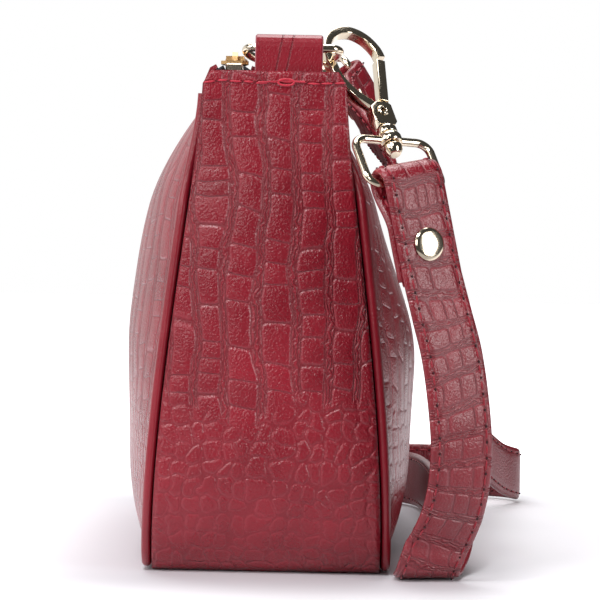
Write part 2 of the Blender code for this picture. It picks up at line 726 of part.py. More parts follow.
def make_pull(shop):
    """A tongue with a window, whose bar lies under the slider's bail. It lies back along the zip."""
    half = PULL_WIDTH / 2
    open_half = 1.5 * MM
    window = [
        (-PULL_BAR_RADIUS, -open_half), (-6.6 * MM, -open_half), (-6.6 * MM, open_half), (-PULL_BAR_RADIUS, open_half),
    ]
    tongue = [
        (PULL_BAR_RADIUS, -0.8 * half), (-8.5 * MM, -0.8 * half), (-16.0 * MM, -half), (-20.0 * MM, -0.9 * half),
        (-PULL_LENGTH, -0.45 * half), (-PULL_LENGTH, 0.45 * half), (-20.0 * MM, 0.9 * half), (-16.0 * MM, half),
        (-8.5 * MM, 0.8 * half), (PULL_BAR_RADIUS, 0.8 * half),
    ]
    pull = plate(shop, "zip_pull", tongue, PULL_THICK, window=window)
    pull.data.transform(Matrix.Rotation(math.radians(-90), 4, "X"))
    shop.add_gold(place(pull, Matrix.Translation(pull_axis())))


# Tabs and D-rings


def ring_bar(end):
    """Middle of a D-ring's straight bar."""
    x = BAG_LENGTH / 2 - LEATHER - TOUCH - TAB_THICK / 2 - tab_radius()
    return Vector((ENDS[end] * x, RING_Y, RING_Z))


def tab_radius():
    """Radius of the tab's middle layer where it turns round the ring."""
    return RING_WIRE + 0.4 * MM + TAB_THICK / 2


def make_tab(shop, end):
    """A leather loop: up behind the gusset, round the ring and down again."""
    radius = tab_radius()
    bar = ring_bar(end)
    front = abs(bar.x) + radius
    back = front - TAB_THICK - TOUCH
    path = [(front, TAB_FOOT), (front, (TAB_FOOT + RING_Z) / 2), (front, RING_Z)]
    for turn in spread(0, 180, 8)[1:]:
        angle = math.radians(turn)
        path.append((abs(bar.x) + radius * math.cos(angle), RING_Z + radius * math.sin(angle)))
    path += [(abs(bar.x) - radius + 0.5 * MM, RING_Z - 2.4 * MM), (back - 0.9 * MM, RING_Z - 6.4 * MM)]
    path += [(back, RING_Z - 10 * MM), (back, TAB_FOOT + 8 * MM), (back, TAB_FOOT)]
    stations = [(Vector((ENDS[end] * x, TAB_Y, z)), Vector((0, ENDS[end], 0))) for x, z in path]
    shop.add_leather(band(f"{end}_tab", stations, TAB_WIDTH, TAB_THICK, 0.5 * MM))


def make_d_ring(shop, end):
    """A straight bar, two tight corners and a round bow."""
    points = [(s * (RING_HALF - RING_CORNER), 0.0) for s in (-1, -0.3, 0.3, 1)]
    middle = RING_HALF - RING_CORNER
    for turn in spread(-90, 0, 4)[1:]:
        angle = math.radians(turn)
        points.append((middle + RING_CORNER * math.cos(angle), RING_CORNER + RING_CORNER * math.sin(angle)))
    for turn in spread(0, 180, 12)[1:-1]:
        angle = math.radians(turn)
        rise = RING_DEPTH - RING_CORNER
        points.append((RING_HALF * math.cos(angle), RING_CORNER + rise * math.sin(angle)))
    for turn in spread(180, 270, 4)[:-1]:
        angle = math.radians(turn)
        points.append((-middle + RING_CORNER * math.cos(angle), RING_CORNER + RING_CORNER * math.sin(angle)))
    lean = math.radians(RING_LEAN[end])
    inward = Vector((-ENDS[end] * math.cos(lean), 0.0, math.sin(lean)))
    places = [Vector((0.0, y, 0.0)) + inward * depth for y, depth in points]
    ring = wire(f"{end}_d_ring", places, RING_WIRE, cyclic=True)
    shop.add_gold(place(ring, Matrix.Translation(ring_bar(end))))


# Snap hooks


def hook_matrix(end):
    """The hook's frame in the bag: X across, Z up the shank, origin at the strap ring's boss."""
    offset, up, across = HOOK_PLACE[end]
    origin = ring_bar(end) + offset
    up = up.normalized()
    across = (across - up * across.dot(up)).normalized()
    through = up.cross(across)
    frame = Matrix((across, through, up)).transposed().to_4x4()
    return Matrix.Translation(origin) @ frame


def bar_outline(centres, half, steps):
    """The outline of a flat bar of even width along a smooth line, square at both ends."""
    line = [Vector(point) * MM for point in spline_through(centres, steps)]
    left, right = [], []
    for i, point in enumerate(line):
        along = (line[min(i + 1, len(line) - 1)] - line[max(i - 1, 0)]).normalized()
        side = Vector((-along.y, along.x)) * half
        left.append(tuple(point + side))
        right.append(tuple(point - side))
    return left + right[::-1]


def make_hook_body(shop, end):
    """A flat bow that ends in a block, slotted for the gate and bored for its rivet."""
    bow = plate(shop, f"{end}_hook_body", bar_outline(HOOK_SPINE, HOOK_BAR, 2), HOOK_THICK, HOOK_BEVEL)
    block_shape = [
        (-0.7 * BLOCK_HALF, BLOCK_FOOT), (0.7 * BLOCK_HALF, BLOCK_FOOT), (BLOCK_HALF, BLOCK_FOOT + 1.4 * MM),
        (BLOCK_HALF, BLOCK_HEAD - 1.2 * MM), (0.7 * BLOCK_HALF, BLOCK_HEAD), (-0.3 * BLOCK_HALF, BLOCK_HEAD),
        (-BLOCK_HALF, BLOCK_HEAD - 2.4 * MM), (-BLOCK_HALF, BLOCK_FOOT + 1.4 * MM),
    ]
    block = plate(shop, "hook_block", block_shape, HOOK_THICK + 0.6 * MM, HOOK_BEVEL)
    body = combine(shop, bow, block, "UNION")
    slot = box("hook_slot", (-BLOCK_HALF - MM, -GATE_SLOT / 2, SLOT_FLOOR), (BLOCK_HALF + MM, GATE_SLOT / 2, 40 * MM))
    keep = plate(shop, "hook_keep", [
        (-0.42 * BLOCK_HALF, SLOT_FLOOR - MM), (BLOCK_HALF + 2 * MM, SLOT_FLOOR - MM),
        (BLOCK_HALF + 2 * MM, BLOCK_HEAD + 3 * MM), (-2.6 * MM, BLOCK_HEAD + 3 * MM),
    ], HOOK_THICK)
    slot = combine(shop, slot, keep, "INTERSECT")
    body = combine(shop, body, slot, "DIFFERENCE")
    across = Matrix.Translation((0, 0, GATE_PIVOT)) @ Matrix.Rotation(math.radians(90), 4, "X")
    bore = cylinder("hook_bore", GATE_RIVET + 1.2 * TOUCH, 4 * HOOK_THICK, across)
    body = combine(shop, body, bore, "DIFFERENCE")
    shop.add_gold(place(body, hook_matrix(end)))


def make_gate(shop, end):
    """A bar from the block to the hook's nose, with a thin lug that turns on the rivet."""
    foot = Vector((2.1 * MM, GATE_SHOULDER))
    tip = Vector(GATE_TIP)
    along = (tip - foot).normalized()
    side = Vector((-along.y, along.x)) * GATE_HALF
    shape = [tuple(foot + side), tuple(foot - side), tuple(tip - side), tuple(tip + side)]
    bar = plate(shop, f"{end}_gate", shape, HOOK_THICK, HOOK_BEVEL)
    lug_half = GATE_SLOT / 2 - TOUCH
    lug_shape = [
        (foot.x + 1.0 * MM, GATE_SHOULDER + 2.0 * MM), (foot.x - 1.0 * MM, GATE_SHOULDER + 2.0 * MM),
        (-0.9 * MM, GATE_PIVOT + 1.2 * MM), (-1.6 * MM, GATE_PIVOT), (-1.3 * MM, GATE_PIVOT - 1.4 * MM),
        (0.0, GATE_PIVOT - 2.0 * MM), (1.4 * MM, GATE_PIVOT - 1.4 * MM), (2.0 * MM, GATE_PIVOT),
        (2.4 * MM, GATE_PIVOT + 2.0 * MM),
    ]
    lug = plate(shop, "gate_lug", lug_shape, 2 * lug_half)
    gate = combine(shop, bar, lug, "UNION")
    across = Matrix.Translation((0, 0, GATE_PIVOT)) @ Matrix.Rotation(math.radians(90), 4, "X")
    bore = cylinder("gate_bore", GATE_RIVET + 1.2 * TOUCH, 4 * HOOK_THICK, across)
    gate = combine(shop, gate, bore, "DIFFERENCE")
    shop.add_gold(place(gate, hook_matrix(end)))


def make_gate_rivet(shop, end):
    """A hollow rivet, headed over on both faces of the block."""
    face = (HOOK_THICK + 0.6 * MM) / 2 + TOUCH
    head = 0.5 * MM
    profile = [
        (RIVET_BORE, face + head), (RIVET_HEAD * 0.8, face + head), (RIVET_HEAD, face), (GATE_RIVET, face),
        (GATE_RIVET, -face), (RIVET_HEAD, -face), (RIVET_HEAD * 0.8, -face - head), (RIVET_BORE, -face - head),
        (RIVET_BORE, face + head),
    ]
    rivet = turned(f"{end}_gate_rivet", profile, 16)
    across = Matrix.Translation((0, 0, GATE_PIVOT)) @ Matrix.Rotation(math.radians(90), 4, "X")
    rivet.data.transform(across)
    shop.add_gold(place(rivet, hook_matrix(end)))


def make_gate_spring(shop, end):
    """A small leaf between the slot's wall and the gate's lug."""
    half = GATE_SLOT / 2 - TOUCH
    foot = SLOT_FLOOR + TOUCH
    leaf = box(f"{end}_gate_spring", (-0.35 * BLOCK_HALF + 0.25 * MM - 0.1 * MM, -half, foot), (0.35 * MM, half, foot + 0.35 * MM))
    shop.add_gold(place(leaf, hook_matrix(end)))


def make_swivel_post(shop, end):
    """The neck under the block, the post through the ring's boss and the knob that holds it."""
    boss_top = BOSS_HALF + SPIN_CLEAR
    knob_top = -BOSS_HALF - SPIN_CLEAR
    profile = [
        (0, BLOCK_FOOT - TOUCH), (NECK_RADIUS * 0.82, BLOCK_FOOT - TOUCH), (NECK_RADIUS, BLOCK_FOOT - 1.0 * MM),
        (NECK_RADIUS, boss_top + 0.4 * MM), (NECK_RADIUS * 0.9, boss_top), (POST_RADIUS, boss_top),
        (POST_RADIUS, knob_top), (KNOB_RADIUS * 0.85, knob_top), (KNOB_RADIUS, knob_top - 0.9 * MM),
        (KNOB_RADIUS * 0.92, knob_top - 2.2 * MM), (KNOB_RADIUS * 0.6, knob_top - KNOB_LENGTH),
        (0, knob_top - KNOB_LENGTH),
    ]
    post = turned(f"{end}_swivel_post", profile)
    shop.add_gold(place(post, hook_matrix(end)))


def make_strap_ring(shop, end):
    """A rounded oblong of wire with a bored boss in the middle of its top bar."""
    points = []
    for s, u, first in ((1, -1, 90), (1, 1, 0), (-1, 1, -90), (-1, -1, -180)):
        centre_x = s * (LOOP_HALF - LOOP_CORNER)
        centre_z = -LOOP_CORNER if u < 0 else -LOOP_LENGTH + LOOP_CORNER
        for turn in spread(first, first - 90, 5):
            angle = math.radians(turn)
            points.append((centre_x + LOOP_CORNER * math.cos(angle), 0.0, centre_z + LOOP_CORNER * math.sin(angle)))
    ring = as_mesh(shop, wire(f"{end}_strap_ring", points, LOOP_WIRE, cyclic=True))
    boss = turned("ring_boss", [
        (0, BOSS_HALF), (BOSS_RADIUS * 0.85, BOSS_HALF), (BOSS_RADIUS, BOSS_HALF * 0.5),
        (BOSS_RADIUS, -BOSS_HALF * 0.5), (BOSS_RADIUS * 0.85, -BOSS_HALF), (0, -BOSS_HALF),
    ])
    ring = combine(shop, ring, boss, "UNION")
    bore = cylinder("ring_bore", POST_RADIUS + SPIN_CLEAR, 6 * BOSS_HALF, Matrix.Identity(4))
    ring = combine(shop, ring, bore, "DIFFERENCE")
    shop.add_gold(place(ring, hook_matrix(end)))


# Strap


def band(name, stations, width, thickness, edge):
    """A flat band through stations, each a middle point and the way across."""
    rings = []
    for i, (point, across) in enumerate(stations):
        after = stations[min(i + 1, len(stations) - 1)][0]
        before = stations[max(i - 1, 0)][0]
        along = (after - before).normalized()
        across = (across - along * across.dot(along)).normalized()
        out = along.cross(across)
        w, t = width / 2, thickness / 2
        section = [
            (-w, -t + edge), (-w + edge, -t), (w - edge, -t), (w, -t + edge),
            (w, t - edge), (w - edge, t), (-w + edge, t), (-w, t - edge),
        ]
        rings.append([point + across * u + out * v for u, v in section])
    return loft(name, rings)


def fold_frame(end):
    """Where the strap turns round its ring's bar: middle, the way it hangs, across, and outwards."""
    matrix = hook_matrix(end)
    middle = matrix @ Vector((0.0, 0.0, -LOOP_LENGTH))
    middle += FOLD_SHIFT[end]
    hang = HANG[end].normalized()
    across = FOLD_ACROSS[end]
    across = (across - hang * across.dot(hang)).normalized()
    out = hang.cross(across) * FOLD_FRONT[end]
    return middle, hang, across, out


def fold_stations(end):
    """The strap's folded end, from the tip of its tail round the bar to its outer layer."""
    middle, hang, across, out = fold_frame(end)
    layer = STRAP_THICK + TOUCH
    stations = []
    rivet_start = RIVET_DOWN - 1.2 * CAP_RADIUS
    for down in (TAIL_LENGTH, RIVET_DOWN + 2 * MM, RIVET_DOWN - 2 * MM, rivet_start, 11 * MM, 7 * MM, 3 * MM, 0.0):
        near = FOLD_RADIUS - layer
        away = near + (-FOLD_RADIUS - near) * smooth_step(1 - down / rivet_start)
        stations.append((middle + out * away + hang * down, across))
    for turn in spread(180, 0, 8)[1:]:
        angle = math.radians(turn)
        offset = out * (FOLD_RADIUS * math.cos(angle)) - hang * (FOLD_RADIUS * math.sin(angle))
        stations.append((middle + offset, across))
    for down in (6 * MM, 13 * MM, RIVET_DOWN, TAIL_LENGTH + 0.5 * MM):
        stations.append((middle + out * FOLD_RADIUS + hang * down, across))
    return stations


def route_point(x, y, z):
    """A point of the route, in metres, past this bag: only what rises off the floor follows its height."""
    y += (BASE_HALF + PANEL_SWELL) / MM
    place = Vector((x * BAG_LENGTH / ROUTE_LENGTH, y, z)) * MM
    if place.z > ROUTE_FLOOR:
        place.z = ROUTE_FLOOR + (place.z - ROUTE_FLOOR) * (BAG_HEIGHT - ROUTE_FLOOR) / (ROUTE_HEIGHT - ROUTE_FLOOR)
    return place


def strap_stations():
    near = fold_stations("near")
    far = fold_stations("far")
    knots = [[*near[-1][0], *near[-1][1]]]
    for place_mm, across in STRAP_ROUTE:
        knots.append([*route_point(*place_mm), *Vector(across).normalized()])
    knots.append([*far[-1][0], *far[-1][1]])
    way = [(Vector(k[:3]), Vector(k[3:])) for k in spline_through(knots, 3)]
    return near[:-1] + way + far[-2::-1]


def rivet_matrix(end):
    """The strap rivet's frame: Z out of the strap's face, origin between its two layers."""
    middle, hang, across, out = fold_frame(end)
    origin = middle + hang * RIVET_DOWN + out * (FOLD_RADIUS - (STRAP_THICK + TOUCH) / 2)
    frame = Matrix((across, out.cross(across), out)).transposed().to_4x4()
    return Matrix.Translation(origin) @ frame


def make_strap(shop):
    strap = band("strap", strap_stations(), STRAP_WIDTH, STRAP_THICK, STRAP_EDGE)
    for end in ENDS:
        bore = cylinder("strap_bore", SHANK_RADIUS + TOUCH, 14 * MM, rivet_matrix(end), 12)
        strap = combine(shop, strap, bore, "DIFFERENCE")
    shop.add_leather(strap)


def make_strap_rivet(shop, end):
    """A low domed cap, a shank through both layers and a flat cap behind."""
    face = STRAP_THICK + TOUCH / 2 + TOUCH
    profile = [
        (0, face + CAP_HEIGHT), (CAP_RADIUS * 0.6, face + CAP_HEIGHT * 0.92), (CAP_RADIUS * 0.92, face + CAP_HEIGHT * 0.5),
        (CAP_RADIUS, face), (SHANK_RADIUS, face), (SHANK_RADIUS, -face), (CAP_RADIUS * 0.86, -face),
        (CAP_RADIUS * 0.8, -face - 0.7 * MM), (0, -face - 0.8 * MM),
    ]
    shop.add_gold(place(turned(f"{end}_strap_rivet", profile, 24), rivet_matrix(end)))


def main():
    clear_scene()
    shop = Shop()
    make_gusset(shop)
    for side in SIDE_SIGN:
        make_piping(shop, side)
        make_panel(shop, side)
        make_tape(shop, side)
        make_teeth(shop, side)
    make_inside(shop)
    make_facings(shop)
    make_slider(shop)
    make_pull(shop)
    make_strap(shop)
    for end in ENDS:
        make_stop(shop, end)
        make_tab(shop, end)
        make_d_ring(shop, end)
        make_hook_body(shop, end)
        make_gate(shop, end)
        make_gate_rivet(shop, end)
        make_gate_spring(shop, end)
        make_swivel_post(shop, end)
        make_strap_ring(shop, end)
        make_strap_rivet(shop, end)


main()
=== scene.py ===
"""Crossbody bag in red embossed leather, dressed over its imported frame."""

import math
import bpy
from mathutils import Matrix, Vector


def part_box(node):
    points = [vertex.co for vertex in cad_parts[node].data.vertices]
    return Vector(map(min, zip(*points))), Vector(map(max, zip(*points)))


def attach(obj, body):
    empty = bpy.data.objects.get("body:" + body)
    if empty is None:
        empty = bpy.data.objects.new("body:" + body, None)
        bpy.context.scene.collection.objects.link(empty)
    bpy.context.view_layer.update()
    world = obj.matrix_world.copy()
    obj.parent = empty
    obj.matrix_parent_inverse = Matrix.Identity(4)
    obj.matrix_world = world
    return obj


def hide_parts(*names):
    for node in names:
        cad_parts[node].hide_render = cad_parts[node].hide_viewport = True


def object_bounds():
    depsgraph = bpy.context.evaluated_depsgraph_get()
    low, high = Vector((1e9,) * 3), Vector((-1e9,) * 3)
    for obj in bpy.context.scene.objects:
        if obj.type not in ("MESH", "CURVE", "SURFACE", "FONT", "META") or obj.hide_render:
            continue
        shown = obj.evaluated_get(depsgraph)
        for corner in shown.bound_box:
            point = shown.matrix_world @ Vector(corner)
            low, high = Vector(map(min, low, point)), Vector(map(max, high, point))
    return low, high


bl_info = {
    "name": "Crossbody Bag",
    "version": (1, 0, 0),
    "blender": (4, 5, 0),
    "location": "View3D > Sidebar > Crossbody Bag",
    "description": "Builds a zip-top leather crossbody bag with a strap on two snap hooks",
    "category": "Object",
}

import bmesh
import bpy
from bpy.props import FloatProperty, FloatVectorProperty, PointerProperty
from mathutils import Matrix, Vector

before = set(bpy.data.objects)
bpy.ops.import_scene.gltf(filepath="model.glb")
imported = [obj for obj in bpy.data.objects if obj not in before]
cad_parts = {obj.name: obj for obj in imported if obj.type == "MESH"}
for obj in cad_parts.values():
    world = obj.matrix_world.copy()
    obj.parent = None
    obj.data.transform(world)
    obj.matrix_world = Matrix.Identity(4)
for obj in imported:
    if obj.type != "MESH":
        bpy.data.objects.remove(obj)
CAD_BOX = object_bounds()
MM = 0.001
SAME_PLACE = 0.002 * MM
WHITE = (1.0, 1.0, 1.0, 1.0)

# Body of the bag, with its three sizes read from the frame
HALF_LENGTH, BASE_HALF, HEIGHT = Vector(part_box("gusset")[1])
TOP_HALF = 21.5 * MM
FLARE_POWER = 0.8
CORNER_RUN = 16 * MM
CORNER_RISE = 36 * MM
CHAMFER_FOOT = 148 * MM
CHAMFER_RUN = 2.4 * MM
LEATHER = 1.6 * MM

# Seams and panels
PANEL_TOP = 145 * MM
PANEL_SWELL = 15.4 * MM
SWELL_POWER = 3.4
LOW_SWELL = 0.72
LOW_SWELL_END = 35 * MM
FULL_SWELL_START = 80 * MM
SEAM_STEP = 1.8 * MM
EAR_START = 112 * MM
EAR_FULL = 143 * MM
EAR_DEPTH = {"front": 2.0 * MM, "back": 6.7 * MM}
BACK_SLACK = 0.6
SLACK_START = 60 * MM
SLACK_FULL = 120 * MM
PANEL_FACE = 0.5 * MM
SIDE_SIGN = {"front": -1, "back": 1}
PIPING_RADIUS = 1.5 * MM
PIPING_INSET = 2.2 * MM
PIPING_TUCK = 1.8 * MM
TOUCH = 0.3 * MM
ENDS = {"near": 1, "far": -1}
HEM_STITCH = 148.6 * MM
GUSSET_SWELL = 2.0 * MM
SWELL_RISE = 45 * MM
SWELL_FALL = 40 * MM
FLAT_TOP = 6 * MM
PANEL_SEED = {"front": 11.0, "back": 31.0}
ROUND_TOP = 1.15

# Sewing
HOLE_LENGTH = 0.95 * MM
HOLE_WIDTH = 0.7 * MM
HEM_PITCH = 3.9 * MM

# Strap
STRAP_WIDTH = 20 * MM
STRAP_THICK = 2.8 * MM
STITCH_SHARE = 0.77
SEAM_DENT = 0.16 * MM
DENT_WIDTH = 0.7 * MM
FOLD_RADIUS = 4.1 * MM
TAIL_LENGTH = 29 * MM
RIVET_DOWN = 19.5 * MM
CAP_RADIUS = 5.0 * MM
LOOP_LENGTH = 17.8 * MM
FOLD_SHIFT = {"near": Vector((-0.45, 0.0, 1.4)) * MM, "far": Vector((0.0, 0.0, 0.0))}
HANG = {"near": Vector((0.0, 0.21, -0.978)), "far": Vector((0.97, 0.02, -0.24))}
FOLD_ACROSS = {"near": Vector((-0.48, 0.865, 0.15)), "far": Vector((0.0, 0.5, -0.85))}
FOLD_FRONT = {"near": 1, "far": -1}
CAP_HEIGHT = 1.1 * MM
SHANK_RADIUS = 1.5 * MM

# Tabs and D-rings
TAB_Y = 4.1 * MM
TAB_WIDTH = 20.4 * MM
RING_WIRE = 1.4 * MM
RING_THINNED = 0.08 * MM
RING_X = 109.1 * MM
RING_Y = 5.2 * MM
RING_Z = 159.4 * MM
RING_HALF = 14.1 * MM
RING_DEPTH = 16.4 * MM
RING_CORNER = 3.2 * MM
RING_LEAN = {"near": -13.0, "far": 12.0}

# Snap hooks, in the hook's own frame: X across, Y through the plate, Z up the shank
HOOK_THICK = 3.4 * MM
HOOK_BAR = 1.3 * MM
HOOK_BEVEL = 0.4 * MM
HOOK_SPINE = [
    (0.4, 11.5), (-3.2, 14.4), (-7.2, 18.2), (-10.0, 23.4), (-11.4, 29.4), (-11.3, 35.2),
    (-9.2, 40.5), (-5.2, 43.8), (-0.4, 44.7), (3.8, 42.4), (6.4, 38.0), (7.0, 34.2),
]
BLOCK_HALF = 3.7 * MM
BLOCK_FOOT = 5.2 * MM
BLOCK_HEAD = 14.6 * MM
BLOCK_THICK = HOOK_THICK + 0.6 * MM
GATE_PIVOT = 10.6 * MM
GATE_HALF = 1.5 * MM
GATE_SHOULDER = 15.4 * MM
GATE_TIP = (6.2 * MM, 32.8 * MM)
GATE_SLOT = 1.8 * MM
SLOT_FLOOR = 7.4 * MM
GATE_RIVET = 1.0 * MM
RIVET_HEAD = 1.9 * MM
RIVET_RISE = 0.6 * MM
RIVET_BORE = 0.8 * MM
POST_RADIUS = 1.4 * MM
NECK_RADIUS = 3.1 * MM
BOSS_RADIUS = 3.6 * MM
BOSS_HALF = 1.7 * MM
KNOB_RADIUS = 2.9 * MM
KNOB_LENGTH = 3.6 * MM
LOOP_WIRE = 1.3 * MM
LOOP_HALF = 12.6 * MM
LOOP_CORNER = 4.0 * MM

# Where each hook hangs: the boss of its strap ring, the way up its shank, and the way across
HOOK_PLACE = {
    "near": (Vector((118.6, 34.8, 131.6)) * MM, Vector((-0.596, -0.27, 0.757)),
             Vector((-0.48, 0.878, 0.0))),
    "far": (Vector((-60.2, 24.0, 157.5)) * MM, Vector((-0.955, -0.28, 0.08)),
            Vector((0.0, 0.5, -0.85))),
}

# The strap's way from hook to hook, in millimetres: where its middle is, with Y from the back
# panel's fullest line, and the way across it
FLAT = 1.6
UPRIGHT = 10.6
STRAP_ROUTE = [
    ((132.4, 0.6, 80.0), (-0.45, 0.88, 0.16)),
    ((132.3, 3.6, 69.0), (-0.42, 0.89, 0.13)),
    ((131.6, 5.8, 56.0), (-0.40, 0.91, 0.08)),
    ((130.6, 7.2, 42.0), (-0.39, 0.92, 0.0)),
    ((128.2, 6.8, 30.0), (-0.37, 0.92, -0.08)),
    ((125.2, 5.2, 21.0), (-0.36, 0.92, -0.14)),
    ((121.9, 3.0, 14.6), (-0.34, 0.92, -0.18)),
    ((119.6, 1.2, 10.6), (-0.31, 0.94, -0.15)),
    ((119.0, -0.2, 7.0), (-0.29, 0.95, -0.10)),
    ((117.2, -1.2, 3.6), (-0.26, 0.96, -0.04)),
    ((112.0, -1.4, FLAT + 0.1), (-0.20, 0.98, 0.0)),
    ((101.0, 0.6, FLAT + 0.5), (-0.12, 0.99, 0.04)),
    ((86.0, 4.6, 5.8), (-0.05, 0.95, 0.32)),
    ((64.0, 8.0, 10.2), (0.0, 0.60, 0.80)),
    ((40.0, 8.4, UPRIGHT), (0.0, 0.15, 0.99)),
    *[((x, y, UPRIGHT), (0.0, 0.0, 1.0)) for x, y in (
        (0.0, 8.4), (-45.0, 8.0), (-88.0, 7.0), (-116.0, 3.0), (-132.0, -10.0), (-139.0, -26.0),
        (-149.0, -35.0), (-159.0, -27.0), (-162.0, -4.0), (-160.0, 22.0), (-154.0, 40.0),
    )],
    ((-141.0, 46.0, UPRIGHT + 0.4), (-0.04, 0.0, 0.99)),
    ((-124.0, 38.0, 15.0), (-0.22, 0.0, 0.97)),
    ((-98.0, 26.5, 26.0), (-0.36, 0.06, 0.93)),
    ((-64.0, 17.5, 39.0), (-0.38, 0.12, 0.92)),
    ((-28.0, 11.0, 52.0), (-0.45, 0.20, 0.87)),
    ((4.0, 6.0, 66.0), (-0.60, 0.35, 0.72)),
    ((24.0, 3.6, 86.0), (-0.85, 0.35, 0.40)),
    ((30.0, -1.2, 105.0), (-0.95, 0.30, 0.05)),
    ((25.0, -7.6, 121.0), (-0.85, 0.30, -0.40)),
    ((14.0, -14.6, 133.0), (-0.55, 0.35, -0.75)),
    ((0.0, -20.6, 141.6), (-0.30, 0.42, -0.85)),
]

# Stage, in metres and watts: each lamp with its place, its width and height, and its power
SOFTBOXES = [
    ("left_softbox", (0.65, -1.0, 0.7), (0.8, 0.9), 7.0),
    ("camera_side_softbox", (1.48, -0.50, 0.48), (0.36, 0.55), 3.8),
    ("top_softbox", (-0.35, -0.1, 1.2), (1.0, 1.0), 12.0),
    ("high_softbox", (0.75, -0.25, 1.0), (0.42, 0.26), 6.0),
    ("right_softbox", (0.78, 0.97, 0.3), (0.36, 0.7), 5.6),
]
LIGHT_AIM = Vector((0.05, 0.0, 0.08))
CAMERA_PLACE = (0.915, 0.00885, 0.1)
CAMERA_PITCH = -1.18
CAMERA_ROLL = 1.15


class BagSizes(bpy.types.PropertyGroup):
    """Sizes of the leather's emboss and of the sewing."""

    column: FloatProperty(
        name="Column", description="Distance from one column of embossed cells to the next",
        default=9.6 * MM, unit="LENGTH",
    )
    cell_height: FloatProperty(
        name="Cell height", description="Height of a large embossed cell", default=9.0 * MM, unit="LENGTH"
    )
    band: FloatProperty(
        name="Band", description="Width of the wrinkled band between columns",
        default=2.3 * MM, unit="LENGTH",
    )
    emboss_depth: FloatProperty(
        name="Emboss depth", description="Depth of the grooves between cells",
        default=0.42 * MM, unit="LENGTH",
    )
    stitch_pitch: FloatProperty(
        name="Stitch pitch", description="Distance from stitch to stitch", default=4.8 * MM, unit="LENGTH"
    )
    stitch_length: FloatProperty(
        name="Stitch length", description="Length of one stitch", default=3.5 * MM, unit="LENGTH"
    )
    thread: FloatProperty(
        name="Thread", description="Thickness of the sewing thread", default=0.72 * MM, unit="LENGTH"
    )


class BagColours(bpy.types.PropertyGroup):
    """Colours of the leather, thread, metal and cloth, with a painted shade for the grooves and a painted
    highlight for the cells' rims.
    """

    leather: FloatVectorProperty(
        name="Leather", description="Raised parts of the leather", subtype="COLOR", size=3,
        default=(0.235, 0.0058, 0.0165), min=0.0, max=1.0,
    )
    # Painted shade: a darker red laid into the grooves, along the hem's stitch line and into the tabs'
    # creases, where shade falls.
    groove: FloatVectorProperty(
        name="Groove", description="Leather down in the grooves", subtype="COLOR", size=3,
        default=(0.075, 0.0022, 0.007), min=0.0, max=1.0,
    )
    # Painted highlight: a paler red along the cells' edges and the band's ridges, standing in for the light
    # that these edges catch.
    rim: FloatVectorProperty(
        name="Rim", description="Leather rubbed paler along the cells' edges", subtype="COLOR", size=3,
        default=(0.46, 0.085, 0.11), min=0.0, max=1.0,
    )
    thread: FloatVectorProperty(
        name="Thread", description="Sewing thread", subtype="COLOR", size=3,
        default=(0.52, 0.010, 0.036), min=0.0, max=1.0,
    )
    cut_edge: FloatVectorProperty(
        name="Cut edge", description="Bare edges of the tabs", subtype="COLOR", size=3,
        default=(0.62, 0.34, 0.38), min=0.0, max=1.0,
    )
    metal: FloatVectorProperty(
        name="Metal", description="Pale gold plating", subtype="COLOR", size=3,
        default=(0.93, 0.80, 0.62), min=0.0, max=1.0,
    )
    cloth: FloatVectorProperty(
        name="Cloth", description="Zip tape and lining", subtype="COLOR", size=3,
        default=(0.012, 0.012, 0.017), min=0.0, max=1.0,
    )


def sizes():
    return bpy.context.scene.bag_sizes


def colours():
    return bpy.context.scene.bag_colours


# Node trees


def fill_in(node, inputs):
    """Links each input that comes from another node, and sets the others."""
    for name, value in inputs.items():
        if isinstance(value, bpy.types.NodeSocket):
            node.id_data.links.new(value, node.inputs[name])
        else:
            node.inputs[name].default_value = value


def add(tree, kind, inputs=None, **settings):
    """A node with its settings, and its inputs either set or linked."""
    node = tree.nodes.new(kind)
    for name, value in settings.items():
        setattr(node, name, value)
    fill_in(node, inputs or {})
    return node


def follow(kind, inputs, **settings):
    """The outputs of a node that is added to the tree its linked inputs come from."""
    sources = [value for value in inputs.values() if isinstance(value, bpy.types.NodeSocket)]
    return add(sources[0].id_data, kind, inputs, **settings).outputs


def arithmetic(operation):
    """A function that adds one kind of arithmetic node."""
    def make(a, b=0.0, c=0.0):
        return follow("ShaderNodeMath", {0: a, 1: b, 2: c}, operation=operation)[0]
    return make


plus, minus, times, times_plus, divided = map(
    arithmetic, ("ADD", "SUBTRACT", "MULTIPLY", "MULTIPLY_ADD", "DIVIDE"))
larger, smaller, softly_smaller, unsigned = map(
    arithmetic, ("MAXIMUM", "MINIMUM", "SMOOTH_MIN", "ABSOLUTE"))
fraction, whole, sine = map(arithmetic, ("FRACT", "FLOOR", "SINE"))


def vector_maths(operation, *values, scale=1.0):
    """The length of a vector, or else the vector that the operation gives."""
    outputs = follow("ShaderNodeVectorMath", {**dict(enumerate(values)), 3: scale}, operation=operation)
    return outputs["Value" if operation == "LENGTH" else "Vector"]


def noise(place, scale, detail=2.0, flat=False, result="Fac"):
    inputs = {"Vector": place, "Scale": scale, "Detail": detail}
    return follow("ShaderNodeTexNoise", inputs, noise_dimensions="2D" if flat else "3D")[result]


def joined(x, y, z=0.0):
    return follow("ShaderNodeCombineXYZ", {"X": x, "Y": y, "Z": z})[0]


def parts_of(vector):
    return follow("ShaderNodeSeparateXYZ", {0: vector})


def object_place(tree):
    return add(tree, "ShaderNodeTexCoord").outputs["Object"]


def strayed_by(place, scale, detail, reach):
    """A flat place moved about by noise, by this reach in X and Y."""
    drift = noise(place, scale, detail, True, "Color")
    drift = vector_maths("SUBTRACT", drift, (0.5, 0.5, 0.5))
    return vector_maths("MULTIPLY_ADD", drift, (*reach, 0.0), place)


